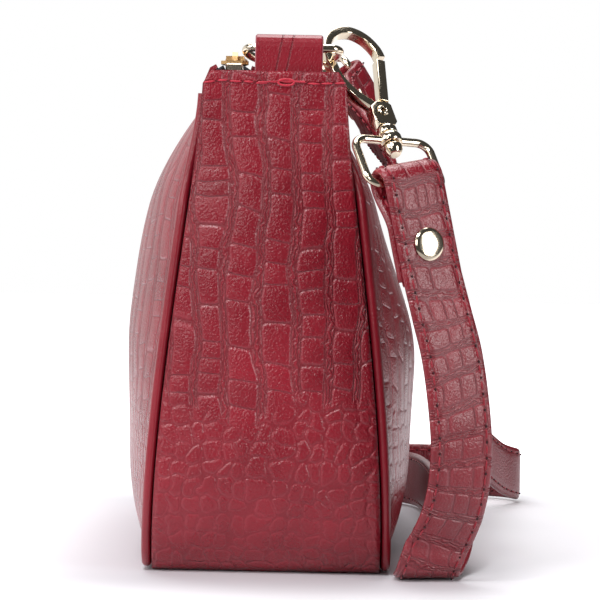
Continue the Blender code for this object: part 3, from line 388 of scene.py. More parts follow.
def ramp(value, low, high, out_low=0.0, out_high=1.0):
    """A smooth change from one value to another."""
    inputs = {"Value": value, "From Min": low, "From Max": high, "To Min": out_low, "To Max": out_high}
    return follow("ShaderNodeMapRange", inputs, interpolation_type="SMOOTHSTEP")["Result"]


def ramp_linear(value, out_low, out_high):
    """Stretches 0 to 1 to these ends."""
    return times_plus(value, out_high - out_low, out_low)


def mixed(factor, a, b):
    return follow("ShaderNodeMix", {0: factor, 2: a, 3: b}, data_type="FLOAT")[0]


def blend_colour(factor, a, b, mode="MIX"):
    inputs = {0: factor}
    for index, value in ((6, a), (7, b)):
        inputs[index] = value if isinstance(value, bpy.types.NodeSocket) else (*value[:3], 1.0)
    return follow("ShaderNodeMix", inputs, data_type="RGBA", blend_type=mode)[2]


def shades(colour, *factors):
    """Darker or lighter versions of a colour."""
    return [tuple(min(1.0, factor * c) for c in colour) for factor in factors]


def bumped(strength, distance, height):
    inputs = {"Strength": strength, "Distance": distance, "Height": height}
    return follow("ShaderNodeBump", inputs)[0]


def new_group(name, inputs, outputs):
    """An empty shader group. An input without a default is a vector, and the rest are numbers."""
    group = bpy.data.node_groups.new(name, "ShaderNodeTree")
    for label, default in inputs.items():
        kind = "NodeSocketVector" if default is None else "NodeSocketFloat"
        socket = group.interface.new_socket(label, in_out="INPUT", socket_type=kind)
        if default is not None:
            socket.default_value = default
    for label in outputs:
        group.interface.new_socket(label, in_out="OUTPUT", socket_type="NodeSocketFloat")
    return group, group.nodes.new("NodeGroupInput").outputs, group.nodes.new("NodeGroupOutput")


def use_group(group, inputs):
    return follow("ShaderNodeGroup", inputs, node_tree=group)


def emboss_group():
    """Columns of tall flat cells with wrinkled bands between them, and small round cells lower down."""
    if "emboss" in bpy.data.node_groups:
        return bpy.data.node_groups["emboss"]
    # Groove darkens the leather's colour as painted shade and also roughens it; Rim Highlight paints a paler
    # highlight line.
    labels = ("Height", "Groove", "Tint", "Rim")
    tree, given, result = new_group("emboss", {
        "Surface": None, "Column": 9.6, "Cell Height": 9.0, "Band": 2.3, "Small Cell": 5.0,
        "Small From": 52.0, "Small To": 47.0, "Seed": 0.0,
    }, labels)
    in_mm = vector_maths("SCALE", given["Surface"], scale=1000.0)
    point = vector_maths("ADD", in_mm, joined(given["Seed"], given["Seed"]))
    strayed = strayed_by(point, 0.03, 2.0, (9.0, 6.0))
    up = parts_of(in_mm)["Y"]
    fade = times_plus(noise(point, 0.05, 1.0, True), 30.0, minus(up, 15.0))
    lower = ramp(fade, given["Small To"], given["Small From"], 1.0, 0.0)
    faint = plus(ramp(up, 8.0, 32.0, 0.8, 1.0), ramp(up, 3.0, 9.0, 0.4, 0.0))
    raised, groove, tint, rim = round_cells(given, strayed)
    raised = times_plus(minus(raised, ROUND_TOP), faint, ROUND_TOP)
    rounds = (raised, times(groove, faint), tint, times(rim, faint))
    for label, above, below in zip(labels, column_cells(given, point, strayed), rounds):
        fill_in(result, {label: mixed(lower, above, below)})
    return tree


def column_cells(given, point, strayed):
    """Height, groove, tint and rim highlight of tall cells in columns, with two wavy creases between
    columns; the groove paints shade and the rim highlight paints light along the cells' edges and the band's
    ridges.
    """
    place = parts_of(strayed)
    along = divided(place["X"], given["Column"])
    column = whole(along)
    aside = minus(fraction(along), 0.5)
    seeded = plus(column, given["Seed"])
    chance = follow("ShaderNodeTexWhiteNoise", {"W": seeded}, noise_dimensions="1D")["Color"]
    draw = follow("ShaderNodeSeparateColor", {0: chance})
    tall = times(given["Cell Height"], ramp_linear(draw[0], 0.8, 1.15))
    rise = plus(divided(place["Y"], tall), times(draw[1], 5.0))
    slant = times(aside, ramp_linear(draw[2], -0.2, 0.2))
    drift = times_plus(column, 13.7, times(rise, 0.45))
    inputs = {"W": drift, "Scale": 1.0, "Detail": 0.0}
    uneven = follow("ShaderNodeTexNoise", inputs, noise_dimensions="1D")["Fac"]
    rise = plus(plus(rise, slant), times(uneven, 1.5))
    step = fraction(rise)
    cell = joined(column, whole(rise))
    tint = follow("ShaderNodeTexWhiteNoise", {"Vector": cell}, noise_dimensions="2D")["Value"]
    half_band = times(given["Band"], 0.5)
    to_band = times(minus(0.5, unsigned(aside)), given["Column"])
    beside = minus(to_band, half_band)
    above = times(smaller(step, minus(1.0, step)), tall)
    inside = softly_smaller(beside, above, 1.8)
    wave = ramp_linear(noise(point, 0.33, 1.0, True), -1.1, 1.1)
    off = minus(fraction(plus(along, 0.5)), 0.5)
    off = plus(times(off, given["Column"]), wave)
    to_crease = unsigned(minus(unsigned(off), times(half_band, 0.5)))
    crease = ramp(to_crease, 0.08, 0.42, 1.0, 0.0)
    in_band = ramp(beside, -0.35, 0.05, 1.0, 0.0)
    pillow = times(ramp(inside, 0.0, 2.8), 0.5)
    dome = times_plus(ramp(inside, 0.0, 0.6), 0.75, pillow)
    folds = times(in_band, times_plus(crease, -0.55, 0.62))
    edge = times(ramp(inside, 0.0, 0.3, 1.0, 0.0), minus(1.0, in_band))
    groove = larger(edge, times(in_band, crease))
    # Painted highlight: pale lines on the band's ridges, between its creases.
    ridge_highlight = times(in_band, ramp(to_crease, 0.4, 0.6))
    return larger(dome, folds), groove, tint, larger(ridge_highlight, rim_highlight_line(inside))


def rim_highlight_line(inside):
    """A thin line just inside the edge of a cell, where the painted highlight goes."""
    return times(ramp(inside, 0.12, 0.34), ramp(inside, 0.4, 0.8, 1.0, 0.0))


def round_cells(given, strayed):
    """Height, groove, tint and rim highlight of small round cells; the groove paints shade and the rim
    highlight paints light along their edges.
    """
    size = given["Small Cell"]
    bent = strayed_by(strayed, 0.16, 1.0, (4.0, 4.0))
    scaled = vector_maths("DIVIDE", bent, joined(size, times(size, 1.12), 1.0))
    inputs = {"Vector": scaled, "Scale": 1.0, "Randomness": 0.5}
    walls, middle = [
        follow("ShaderNodeTexVoronoi", inputs, voronoi_dimensions="2D", feature=feature)
        for feature in ("DISTANCE_TO_EDGE", "F1")
    ]
    chance = follow("ShaderNodeSeparateColor", {0: middle["Color"]})[0]
    round_off = minus(0.6, middle["Distance"])
    inside = times(softly_smaller(walls["Distance"], round_off, 0.22), size)
    inside = plus(inside, 0.12)
    height = ramp(inside, 0.0, 1.1, 0.5, ROUND_TOP)
    groove = ramp(inside, 0.0, 0.34, 0.5, 0.0)
    return height, groove, ramp_linear(chance, 0.35, 0.65), times(rim_highlight_line(inside), 0.6)


def grain_group():
    """Pebbled grain and fine pores of leather."""
    if "grain" in bpy.data.node_groups:
        return bpy.data.node_groups["grain"]
    tree, given, result = new_group("grain", {"Place": None, "Pebble Size": 0.9}, ("Height", "Mottle"))
    place = given["Place"]
    scale = divided(1000.0, given["Pebble Size"])
    inputs = {"Vector": place, "Scale": scale}
    pores = follow("ShaderNodeTexVoronoi", inputs, feature="DISTANCE_TO_EDGE")["Distance"]
    height = times_plus(ramp(pores, 0.0, 0.4), 0.22, noise(place, scale, 0.6))
    fill_in(result, {"Height": height, "Mottle": noise(place, 55.0, 3.0)})
    return tree


# Materials


def new_material(name):
    """A material with its tree and its Principled shader."""
    material = bpy.data.materials.new(name)
    material.use_nodes = True
    tree = material.node_tree
    return material, tree, tree.nodes["Principled BSDF"]


def leather_material(
        name, seed=0.0, embossed=True, hem=False, tab=False, across=False, small=(52.0, 47.0), cells=None,
        roughness=0.28, gloss=0.6, pebbled=0.5):
    """Glossy red leather, with cells where it is embossed and grain everywhere."""
    material, tree, shader = new_material(name)
    place = object_place(tree)
    grain = use_group(grain_group(), {"Place": place, "Pebble Size": 0.75})
    tone = blend_colour(ramp(grain["Mottle"], 0.3, 0.7), *shades(colours().leather, 0.92, 1.12))
    height = times(grain["Height"], pebbled)
    rough = times_plus(grain["Mottle"], 0.1, roughness - 0.05)
    if embossed:
        surface = add(tree, "ShaderNodeUVMap", uv_map="surface").outputs[0]
        where = parts_of(surface)
        if across:
            surface = joined(where["Y"], where["X"])
        column, tall, band = cells or (sizes().column / MM, sizes().cell_height / MM, sizes().band / MM)
        cell = use_group(emboss_group(), {
            "Surface": surface, "Seed": seed, "Column": column, "Cell Height": tall, "Band": band,
            "Small From": small[0], "Small To": small[1],
        })
        raised, groove, rim = cell["Height"], cell["Groove"], cell["Rim"]
        if across:
            outer = ramp(where["X"], STRAP_WIDTH, STRAP_WIDTH + 1.2 * MM, 1.0, 0.0)
            raised = times_plus(minus(raised, 1.0), outer, 1.0)
            groove = times(groove, outer)
            rim = times(rim, outer)
        if hem:
            turned_over = ramp(where["Y"], HEM_STITCH - 0.3 * MM, HEM_STITCH + 0.5 * MM)
            raised = times_plus(turned_over, 0.9, raised)
            seam = unsigned(minus(where["Y"], HEM_STITCH))
            # Painted shade along the hem's stitch line, through the groove mask.
            groove = larger(groove, ramp(seam, 0.15 * MM, 0.45 * MM, 0.8, 0.0))
        shade = ramp_linear(cell["Tint"], 0.92, 1.08)
        tone = blend_colour(1.0, tone, joined(shade, shade, shade), "MULTIPLY")
        # Painted shade: the grooves are blended towards the darker groove colour.
        tone = blend_colour(times(groove, 0.3), tone, colours().groove)
        # Painted highlight: the rims are blended towards the paler rim colour.
        tone = blend_colour(times(rim, 0.24), tone, colours().rim)
        height = plus(height, raised)
        rough = times_plus(groove, 0.1, rough)
    if tab:
        tone, height = tab_marks(place, tone, height)
    fill_in(shader, {
        "Base Color": tone, "Roughness": rough, "Normal": bumped(1.0, sizes().emboss_depth, height),
        "Specular IOR Level": gloss, "Coat Weight": 0.15, "Coat Roughness": 0.2,
    })
    return material


def tab_marks(place, tone, height):
    """Two slanting creases across a tab, darkened with painted shade, and its pale cut edges."""
    at = parts_of(place)
    lean = times_plus(minus(at["Z"], HEIGHT), -0.19, at["Y"])
    for offset in (0.2 * MM, 3.4 * MM):
        line = ramp(unsigned(minus(lean, offset)), 0.08 * MM, 0.34 * MM, 1.0, 0.0)
        # Painted shade: each crease is blended towards the darker groove colour.
        tone = blend_colour(times(line, 0.45), tone, colours().groove)
        height = times_plus(line, -0.5, height)
    aside = unsigned(minus(at["Y"], TAB_Y))
    cut = ramp(aside, TAB_WIDTH / 2 - 0.35 * MM, TAB_WIDTH / 2 - 0.05 * MM)
    return blend_colour(times(cut, 0.6), tone, colours().cut_edge), height


def metal_material(name, tint=(1.0, 1.0, 1.0), roughness=0.13):
    """Polished pale gold plating with faint smears."""
    material, tree, shader = new_material(name)
    smear = noise(object_place(tree), 210.0, 3.0)
    base = tuple(c * t for c, t in zip(colours().metal, tint))
    fill_in(shader, {
        "Base Color": blend_colour(ramp(smear, 0.35, 0.7), *shades(base, 1.0, 0.9)),
        "Roughness": times_plus(smear, 0.10, roughness - 0.05), "Metallic": 1.0,
    })
    return material


def cloth_material(name, thread_mm=0.45):
    """A plain weave of dark thread."""
    material, tree, shader = new_material(name)
    at = parts_of(object_place(tree))
    turns = 2 * math.pi / (thread_mm * MM)
    warp = sine(times(at["X"], turns))
    weft = sine(times(plus(at["Y"], at["Z"]), turns))
    weave = times(warp, weft)
    fill_in(shader, {
        "Base Color": blend_colour(ramp(weave, -1.0, 1.0), *shades(colours().cloth, 1.0, 3.0)),
        "Normal": bumped(0.8, 0.12 * MM, weave), "Roughness": 0.82, "Sheen Weight": 0.25,
    })
    return material


def thread_material(name, tone=1.0):
    """Waxed thread with a fine twist."""
    material, tree, shader = new_material(name)
    twist = noise(object_place(tree), 2600.0, 1.0)
    fill_in(shader, {
        "Base Color": blend_colour(twist, *shades(colours().thread, 0.7 * tone, 1.35 * tone)),
        "Normal": bumped(0.5, 0.08 * MM, twist), "Roughness": 0.55, "Sheen Weight": 0.3,
    })
    return material


def matt_material(name, scale, detail, dark, pale, roughness):
    """A dull material whose colour wanders from dark to pale."""
    material, tree, shader = new_material(name)
    speckle = noise(object_place(tree), scale, detail)
    fill_in(shader, {"Base Color": blend_colour(speckle, dark, pale), "Roughness": roughness})
    return material


# Meshes


def smooth_step(value):
    value = min(1.0, max(0.0, value))
    return value * value * (3 - 2 * value)


def eased(value, start, full):
    """A smooth rise from 0 at the start to 1 where it is full."""
    return smooth_step((value - start) / (full - start))


def spread(first, last, count):
    return [first + (last - first) * i / count for i in range(count + 1)]


def arc(x, y, radius_x, radius_y, first, last, steps):
    """Points round an ellipse, between two angles in degrees."""
    turns = [math.radians(turn) for turn in spread(first, last, steps)]
    return [(x + radius_x * math.cos(turn), y + radius_y * math.sin(turn)) for turn in turns]


def linked(name, data):
    """A new object in the scene with this data."""
    obj = bpy.data.objects.new(name, data)
    bpy.context.scene.collection.objects.link(obj)
    return obj


def made_from(name, bm):
    """An object with the mesh that has been built up."""
    mesh = bpy.data.meshes.new(name)
    bm.to_mesh(mesh)
    bm.free()
    return linked(name, mesh)


def evaluated_mesh(obj):
    """The object's mesh with its modifiers or bevel made real."""
    bpy.context.view_layer.update()
    graph = bpy.context.evaluated_depsgraph_get()
    return bpy.data.meshes.new_from_object(
        obj.evaluated_get(graph), preserve_all_data_layers=True, depsgraph=graph)


def surface_from_rows(name, rows, uv_rows, closed=False, filled=False):
    """A mesh through rows of points, each with its place on the leather as its surface map."""
    mesh = bpy.data.meshes.new(name)
    count = len(rows[0])
    points = [point for row in rows for point in row]
    places = [place for row in uv_rows for place in row]
    faces = []
    for r in range(len(rows) - 1):
        for i in range(count if closed else count - 1):
            j = (i + 1) % count
            faces.append((r * count + i, r * count + j, (r + 1) * count + j, (r + 1) * count + i))
    if filled:
        faces.append(tuple(range((len(rows) - 1) * count, len(rows) * count)))
    mesh.from_pydata([tuple(p) for p in points], [], faces)
    layer = mesh.uv_layers.new(name="surface")
    for loop in mesh.loops:
        layer.data[loop.index].uv = places[loop.vertex_index]
    mesh.shade_smooth()
    return linked(name, mesh)


def wall(obj, thickness):
    """Gives a surface its thickness inwards."""
    change = obj.modifiers.new("wall", "SOLIDIFY")
    change.thickness = thickness
    change.offset = -1.0
    change.use_even_offset = True
    return applied(obj)


def applied(obj):
    """The object with its modifiers made real."""
    mesh = evaluated_mesh(obj)
    obj.modifiers.clear()
    obj.data = mesh
    return obj


def finish_piece(obj, material, body, *nodes):
    """Dresses a new piece, puts it on its body and hides the frame's node it stands for."""
    obj.data.materials.clear()
    obj.data.materials.append(material)
    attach(obj, body)
    if nodes:
        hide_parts(*nodes)
    return obj


def dress(material, *nodes):
    """Gives frame nodes their material."""
    for node in nodes:
        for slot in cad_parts[node].material_slots:
            slot.material = material


def from_curve(curve, points, closed):
    """The mesh of a bevelled curve through points in two or three dimensions."""
    spline = curve.splines.new("POLY")
    spline.points.add(len(points) - 1)
    for control, point in zip(spline.points, points):
        control.co = (*point, *[0.0] * (3 - len(point)), 1.0)
    spline.use_cyclic_u = closed
    obj = linked(curve.name, curve)
    mesh = evaluated_mesh(obj)
    bpy.data.objects.remove(obj, do_unlink=True)
    mesh.name = curve.name
    return mesh


def bevelled_bar(name, points, radius, cyclic=False, sides=6):
    """A round bar along points, as a mesh."""
    curve = bpy.data.curves.new(name, "CURVE")
    curve.dimensions = "3D"
    curve.bevel_depth = radius
    curve.bevel_resolution = sides
    curve.use_fill_caps = not cyclic
    mesh = from_curve(curve, points, cyclic)
    mesh.shade_smooth()
    mesh.set_sharp_from_angle(angle=math.radians(50))
    return linked(name, mesh)


def plate(name, shape, thickness, bevel=0.0):
    """A flat piece with this outline in X and Z, centred on Y = 0, with rounded edges."""
    curve = bpy.data.curves.new(name, "CURVE")
    curve.dimensions = "2D"
    curve.fill_mode = "BOTH"
    curve.extrude = thickness / 2 - bevel
    curve.bevel_depth = bevel
    curve.bevel_resolution = 3
    curve.offset = -bevel
    mesh = from_curve(curve, shape, True)
    bm = bmesh.new()
    bm.from_mesh(mesh)
    bmesh.ops.remove_doubles(bm, verts=bm.verts, dist=SAME_PLACE)
    bm.to_mesh(mesh)
    bm.free()
    mesh.transform(Matrix.Rotation(math.radians(90), 4, "X"))
    return linked(name, mesh)


def turned(name, profile):
    """A solid of revolution about Z, from (radius, height) points given from top to bottom."""
    segments = 48
    bm = bmesh.new()
    rows = []
    for radius, height in profile:
        if radius == 0:
            rows.append([bm.verts.new((0, 0, height))])
            continue
        ring = arc(0.0, 0.0, radius, radius, 0, 360, segments)[:-1]
        rows.append([bm.verts.new((x, y, height)) for x, y in ring])
    for upper, lower in zip(rows, rows[1:]):
        for k in range(segments):
            j = (k + 1) % segments
            ring = [row[i % len(row)] for row, i in ((upper, k), (upper, j), (lower, j), (lower, k))]
            corners = list(dict.fromkeys(ring))
            if len(corners) > 2:
                bm.faces.new(corners)
    bmesh.ops.remove_doubles(bm, verts=bm.verts, dist=SAME_PLACE)
    bmesh.ops.recalc_face_normals(bm, faces=bm.faces)
    return made_from(name, bm)


def rounded_profile(points, radius):
    """The profile with each sharp corner replaced by a small arc."""
    result = [points[0]]
    for before, here, after in zip(points, points[1:], points[2:]):
        here_v, into, away = Vector(here), Vector(before) - Vector(here), Vector(after) - Vector(here)
        reach = min(radius, into.length * 0.45, away.length * 0.45)
        first, last = here_v + into.normalized() * reach, here_v + away.normalized() * reach
        for t in spread(0.0, 1.0, 3):
            point = first * (1 - t) ** 2 + here_v * (2 * t * (1 - t)) + last * t**2
            result.append((max(0.0, point.x), point.y))
    return result + [points[-1]]


def combine(obj, tool, operation):
    """Joins a tool to an object or cuts it away, at once."""
    change = obj.modifiers.new(operation.lower(), "BOOLEAN")
    change.operation = operation
    change.object = tool
    applied(obj)
    bpy.data.objects.remove(tool, do_unlink=True)
    return obj


def cylinder(name, radius, length, matrix):
    bm = bmesh.new()
    bmesh.ops.create_cone(bm, cap_ends=True, segments=32, radius1=radius, radius2=radius, depth=length)
    bmesh.ops.transform(bm, matrix=matrix, verts=bm.verts)
    return made_from(name, bm)


def settled(obj, matrix, sharp=38):
    """The piece with its place in its mesh, smooth except at its sharp edges."""
    obj.data.transform(matrix)
    obj.data.shade_smooth()
    obj.data.set_sharp_from_angle(angle=math.radians(sharp))
    return obj


# The bag's shape


def gusset_half(z):
    down = min(1.0, max(0.0, 1 - z / HEIGHT))
    return TOP_HALF + (BASE_HALF - TOP_HALF) * smooth_step(down**FLARE_POWER)


def drawn_in(z):
    return eased(z, EAR_START, EAR_FULL)


def seam_half(z, side):
    return gusset_half(z) + SEAM_STEP - EAR_DEPTH[side] * drawn_in(z)


def panel_face(x, z, side):
    middle = (PANEL_TOP + LEATHER) / 2
    across = abs(x) / (HALF_LENGTH - PIPING_INSET - PIPING_RADIUS)
    up = abs(z - middle) / (PANEL_TOP - middle)
    out = min(1.0, (across**6 + up**6) ** (1 / 6))
    fullness = eased(z, LOW_SWELL_END, FULL_SWELL_START)
    swell = PANEL_SWELL * (1 - out**SWELL_POWER) * (LOW_SWELL + (1 - LOW_SWELL) * fullness)
    if side == "back":
        swell *= 1 - BACK_SLACK * eased(z, SLACK_START, SLACK_FULL)
    return seam_half(z, side) + PANEL_FACE + swell


def outline(inset, top, tuck=0.0, fine=1):
    """The bag seen from the front, from the top of the near end round to the top of the far end."""
    points = []
    for z in spread(top, CORNER_RISE, 8 * fine):
        points.append((HALF_LENGTH - inset - tuck * PIPING_TUCK * min(1.0, 12 * drawn_in(z)), z))
    for i in range(1, 8 * fine + 1):
        turn = math.pi / 2 * i / (8 * fine)
        normal = Vector((math.cos(turn) / CORNER_RUN, -math.sin(turn) / CORNER_RISE)).normalized()
        x = HALF_LENGTH - CORNER_RUN + CORNER_RUN * math.cos(turn)
        z = CORNER_RISE - CORNER_RISE * math.sin(turn)
        points.append((x - normal.x * inset, z - normal.y * inset))
    for x in spread(HALF_LENGTH - CORNER_RUN, 0.0, 4 * fine)[1:]:
        points.append((x, inset))
    return points + [(-x, z) for x, z in reversed(points[:-1])]


# The strap's way, as its solid goes


def spline_through(points, steps):
    """Points on a smooth curve through these, of any size, with this many steps between two."""
    result = []
    last = len(points) - 1
    for i in range(last):
        a, b = points[max(i - 1, 0)], points[i]
        c, d = points[i + 1], points[min(i + 2, last)]
        for k in range(steps):
            t = k / steps
            point = []
            for p, q, r, s in zip(a, b, c, d):
                square, cube = 2 * p - 5 * q + 4 * r - s, 3 * q - p - 3 * r + s
                point.append(0.5 * (2 * q + (r - p) * t + square * t**2 + cube * t**3))
            result.append(point)
    result.append(list(points[-1]))
    return result


def hook_matrix(end):
    """The hook's frame: X across, Z up the shank, origin at the strap ring's boss."""
    origin, up, across = HOOK_PLACE[end]
    up = up.normalized()
    across = (across - up * across.dot(up)).normalized()
    through = up.cross(across)
    turn = Matrix((across, through, up)).transposed().to_4x4()
    return Matrix.Translation(origin) @ turn


def fold_frame(end):
    """Where the strap turns round its ring's bar: middle, the way it hangs, across, and outwards."""
    middle = hook_matrix(end) @ Vector((0.0, 0.0, -LOOP_LENGTH))
    middle += FOLD_SHIFT[end]
    hang = HANG[end].normalized()
    across = FOLD_ACROSS[end]
    across = (across - hang * across.dot(hang)).normalized()
    return middle, hang, across, hang.cross(across) * FOLD_FRONT[end]


def fold_stations(end):
    """The strap's folded end, from the tip of its tail round the bar to its outer layer."""
    middle, hang, across, out = fold_frame(end)
    near = FOLD_RADIUS - STRAP_THICK - TOUCH
    rivet_start = RIVET_DOWN - 1.2 * CAP_RADIUS
    stations = []
    for down in spread(TAIL_LENGTH, 0.0, 30):
        away = near + (-FOLD_RADIUS - near) * smooth_step(1 - down / rivet_start)
        stations.append((middle + out * away + hang * down, across))
    for turn in spread(180, 0, 20)[1:]:
        angle = math.radians(turn)
        offset = out * (FOLD_RADIUS * math.cos(angle)) - hang * (FOLD_RADIUS * math.sin(angle))
        stations.append((middle + offset, across))
    for down in spread(0.0, TAIL_LENGTH + 0.5 * MM, 22)[1:]:
        stations.append((middle + out * FOLD_RADIUS + hang * down, across))
    return stations


def strap_stations():
    near = fold_stations("near")
    far = fold_stations("far")
    knots = [[*near[-1][0], *near[-1][1]]]
    for (x, y, z), across in STRAP_ROUTE:
        knots.append([x * MM, y * MM + BASE_HALF + PANEL_SWELL, z * MM, *Vector(across).normalized()])
    knots.append([*far[-1][0], *far[-1][1]])
    way = [(Vector(k[:3]), Vector(k[3:])) for k in spline_through(knots, 14)]
    return near[:-1] + way + far[-2::-1]


def strap_frames():
    """Every station with its middle, across, outwards and distance along the strap."""
    stations = strap_stations()
    frames, run = [], 0.0
    for i, (point, across) in enumerate(stations):
        after = stations[min(i + 1, len(stations) - 1)][0]
        before = stations[max(i - 1, 0)][0]
        if i:
            run += (point - stations[i - 1][0]).length
        along = (after - before).normalized()
        across = (across - along * across.dot(along)).normalized()
        frames.append((point, across, along.cross(across), run))
    return frames


def strap_half(share):
    """Half the strap's thickness across its width: rounded edges and a dent along each seam."""
    full = STRAP_THICK / 2 * math.sqrt(max(0.0, 1 - abs(share) ** 9))
    seam = abs(abs(share) - STITCH_SHARE) * STRAP_WIDTH / 2
    return full - SEAM_DENT * math.exp(-((seam / DENT_WIDTH) ** 2))


# Sewing


def stitch_tree(material):
    """Puts a stitch at every pitch along each line, turned along it."""
    name = "stitching " + material.name
    if name in bpy.data.node_groups:
        return bpy.data.node_groups[name]
    tree = bpy.data.node_groups.new(name, "GeometryNodeTree")
    kinds = {"Geometry": "Geometry", **dict.fromkeys(("Pitch", "Length", "Thread", "Shift"), "Float")}
    for label, kind in {**kinds, "Material": "Material"}.items():
        tree.interface.new_socket(label, in_out="INPUT", socket_type="NodeSocket" + kind)
    tree.interface.new_socket("Geometry", in_out="OUTPUT", socket_type="NodeSocketGeometry")
    given = tree.nodes.new("NodeGroupInput").outputs
    line = follow("GeometryNodeMeshToCurve", {"Mesh": given["Geometry"]})[0]
    spaced = follow("GeometryNodeResampleCurve", {"Curve": line, "Length": given["Pitch"]}, mode="LENGTH")[0]
    out = add(tree, "GeometryNodeInputNamedAttribute", {"Name": "out"}, data_type="FLOAT_VECTOR").outputs[0]
    tangent = add(tree, "GeometryNodeInputTangent").outputs[0]
    ahead = vector_maths("SCALE", tangent, scale=given["Shift"])
    moved = follow("GeometryNodeSetPosition", {"Geometry": spaced, "Offset": ahead})[0]
    lengthwise = follow("FunctionNodeAlignRotationToVector", {"Vector": tangent}, axis="X")[0]
    outwards = {"Rotation": lengthwise, "Vector": out}
    upright = follow("FunctionNodeAlignRotationToVector", outwards, axis="Z", pivot_axis="X")[0]
    ball = add(tree, "GeometryNodeMeshUVSphere", {"Segments": 8, "Rings": 5, "Radius": 0.5}).outputs[0]
    uneven = add(tree, "FunctionNodeRandomValue", {2: 0.82, 3: 1.12, "Seed": 4}, data_type="FLOAT")
    length = times(given["Length"], uneven.outputs[1])
    size = joined(length, given["Thread"], given["Thread"])
    inputs = {"Points": moved, "Instance": ball, "Rotation": upright, "Scale": size}
    real = follow("GeometryNodeRealizeInstances", {0: follow("GeometryNodeInstanceOnPoints", inputs)[0]})[0]
    coloured = follow("GeometryNodeSetMaterial", {"Geometry": real, "Material": given["Material"]})
    fill_in(tree.nodes.new("NodeGroupOutput"), {0: coloured[0]})
    return tree


def sew(name, lines, body, material, pitch=None, length=None, thread=None, shift=0.0):
    """Stitches along lines of (point, outward) pairs, as one plain mesh."""
    mesh = bpy.data.meshes.new(name)
    points = [tuple(point) for line in lines for point, _ in line]
    edges, start = [], 0
    for line in lines:
        edges += [(start + i, start + i + 1) for i in range(len(line) - 1)]
        start += len(line)
    mesh.from_pydata(points, edges, [])
    outward = mesh.attributes.new("out", "FLOAT_VECTOR", "POINT")
    outward.data.foreach_set("vector", [c for line in lines for _, out in line for c in out])
    obj = linked(name, mesh)
    change = obj.modifiers.new("stitching", "NODES")
    change.node_group = stitch_tree(material)
    values = {
        "Pitch": pitch or sizes().stitch_pitch, "Length": length or sizes().stitch_length,
        "Thread": thread or sizes().thread, "Shift": shift, "Material": material,
    }
    for item in change.node_group.interface.items_tree:
        if item.in_out == "INPUT" and item.name in values:
            change[item.identifier] = values[item.name]
    applied(obj).data.shade_smooth()
    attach(obj, body)
    return obj


class BAG_OT_gusset(bpy.types.Operator):
    """Makes the strip of leather that forms both ends and the base"""

    bl_idname = "bag.gusset"
    bl_label = "Gusset"

    def execute(self, context):
        path = [(HALF_LENGTH, z) for z in spread(HEIGHT, CHAMFER_FOOT, 4)[:-1]]
        path += outline(0.0, CHAMFER_FOOT, fine=5)
        path += [(-HALF_LENGTH, z) for z in spread(CHAMFER_FOOT, HEIGHT, 4)[1:]]
        runs = [0.0]
        for before, here in zip(path, path[1:]):
            runs.append(runs[-1] + math.dist(before, here))
        shares = spread(1.0, -1.0, 40)
        rows, places = [], []
        for (x, z), run in zip(path, runs):
            half = gusset_half(z) - CHAMFER_RUN * max(0.0, (z - CHAMFER_FOOT) / (HEIGHT - CHAMFER_FOOT))
            fullness = smooth_step(z / SWELL_RISE) * smooth_step((HEIGHT - FLAT_TOP - z) / SWELL_FALL)
            swell = math.copysign(GUSSET_SWELL * fullness, x)
            rows.append([(x + swell * (1 - share * share), share * half, z) for share in shares])
            places.append([(share * half, HEIGHT - min(run, runs[-1] - run)) for share in shares])
        skin = wall(surface_from_rows("gusset_leather", rows, places), LEATHER)
        finish_piece(skin, leather_material("gusset leather", seed=3.0, hem=True), "bag", "gusset")
        return {"FINISHED"}


class BAG_OT_panels(bpy.types.Operator):
    """Makes the swelling front and back panels"""

    bl_idname = "bag.panels"
    bl_label = "Front and back panels"

    def execute(self, context):
        middle = Vector((0.0, (PANEL_TOP + LEATHER) / 2))
        shares = [math.sin(math.pi / 2 * s) for s in spread(1.0, 0.02, 40)]
        edge = outline(PIPING_INSET + PIPING_RADIUS + TOUCH, PANEL_TOP, tuck=1.0, fine=4)
        rim = edge + [(x, PANEL_TOP) for x in spread(edge[-1][0], edge[0][0], 60)[1:-1]]
        for side, sign in SIDE_SIGN.items():
            rows, places = [], []
            for share in shares:
                row = []
                for point in rim:
                    x, z = middle + (Vector(point) - middle) * share
                    row.append((x, sign * panel_face(x, z, side), z))
                if side == "front":
                    row.reverse()
                rows.append(row)
                places.append([(sign * x, z) for x, _, z in row])
            skin = surface_from_rows(f"{side}_panel_leather", rows, places, closed=True, filled=True)
            material = leather_material(f"{side} panel leather", seed=PANEL_SEED[side])
            finish_piece(wall(skin, LEATHER), material, "bag", f"{side}_panel")
        return {"FINISHED"}


class BAG_OT_piping(bpy.types.Operator):
    """Makes the leather-covered cords in both seams"""

    bl_idname = "bag.piping"
    bl_label = "Piping"

    def execute(self, context):
        seam = outline(PIPING_INSET, PANEL_TOP, tuck=1.0, fine=4)
        for side, sign in SIDE_SIGN.items():
            points = [(x, sign * seam_half(z, side), z) for x, z in seam]
            cord = bevelled_bar(f"{side}_piping_cord", points, PIPING_RADIUS)
            leather = leather_material(f"{side} piping leather", embossed=False, roughness=0.34, pebbled=0.2)
            finish_piece(cord, leather, "bag", f"{side}_piping")
        return {"FINISHED"}


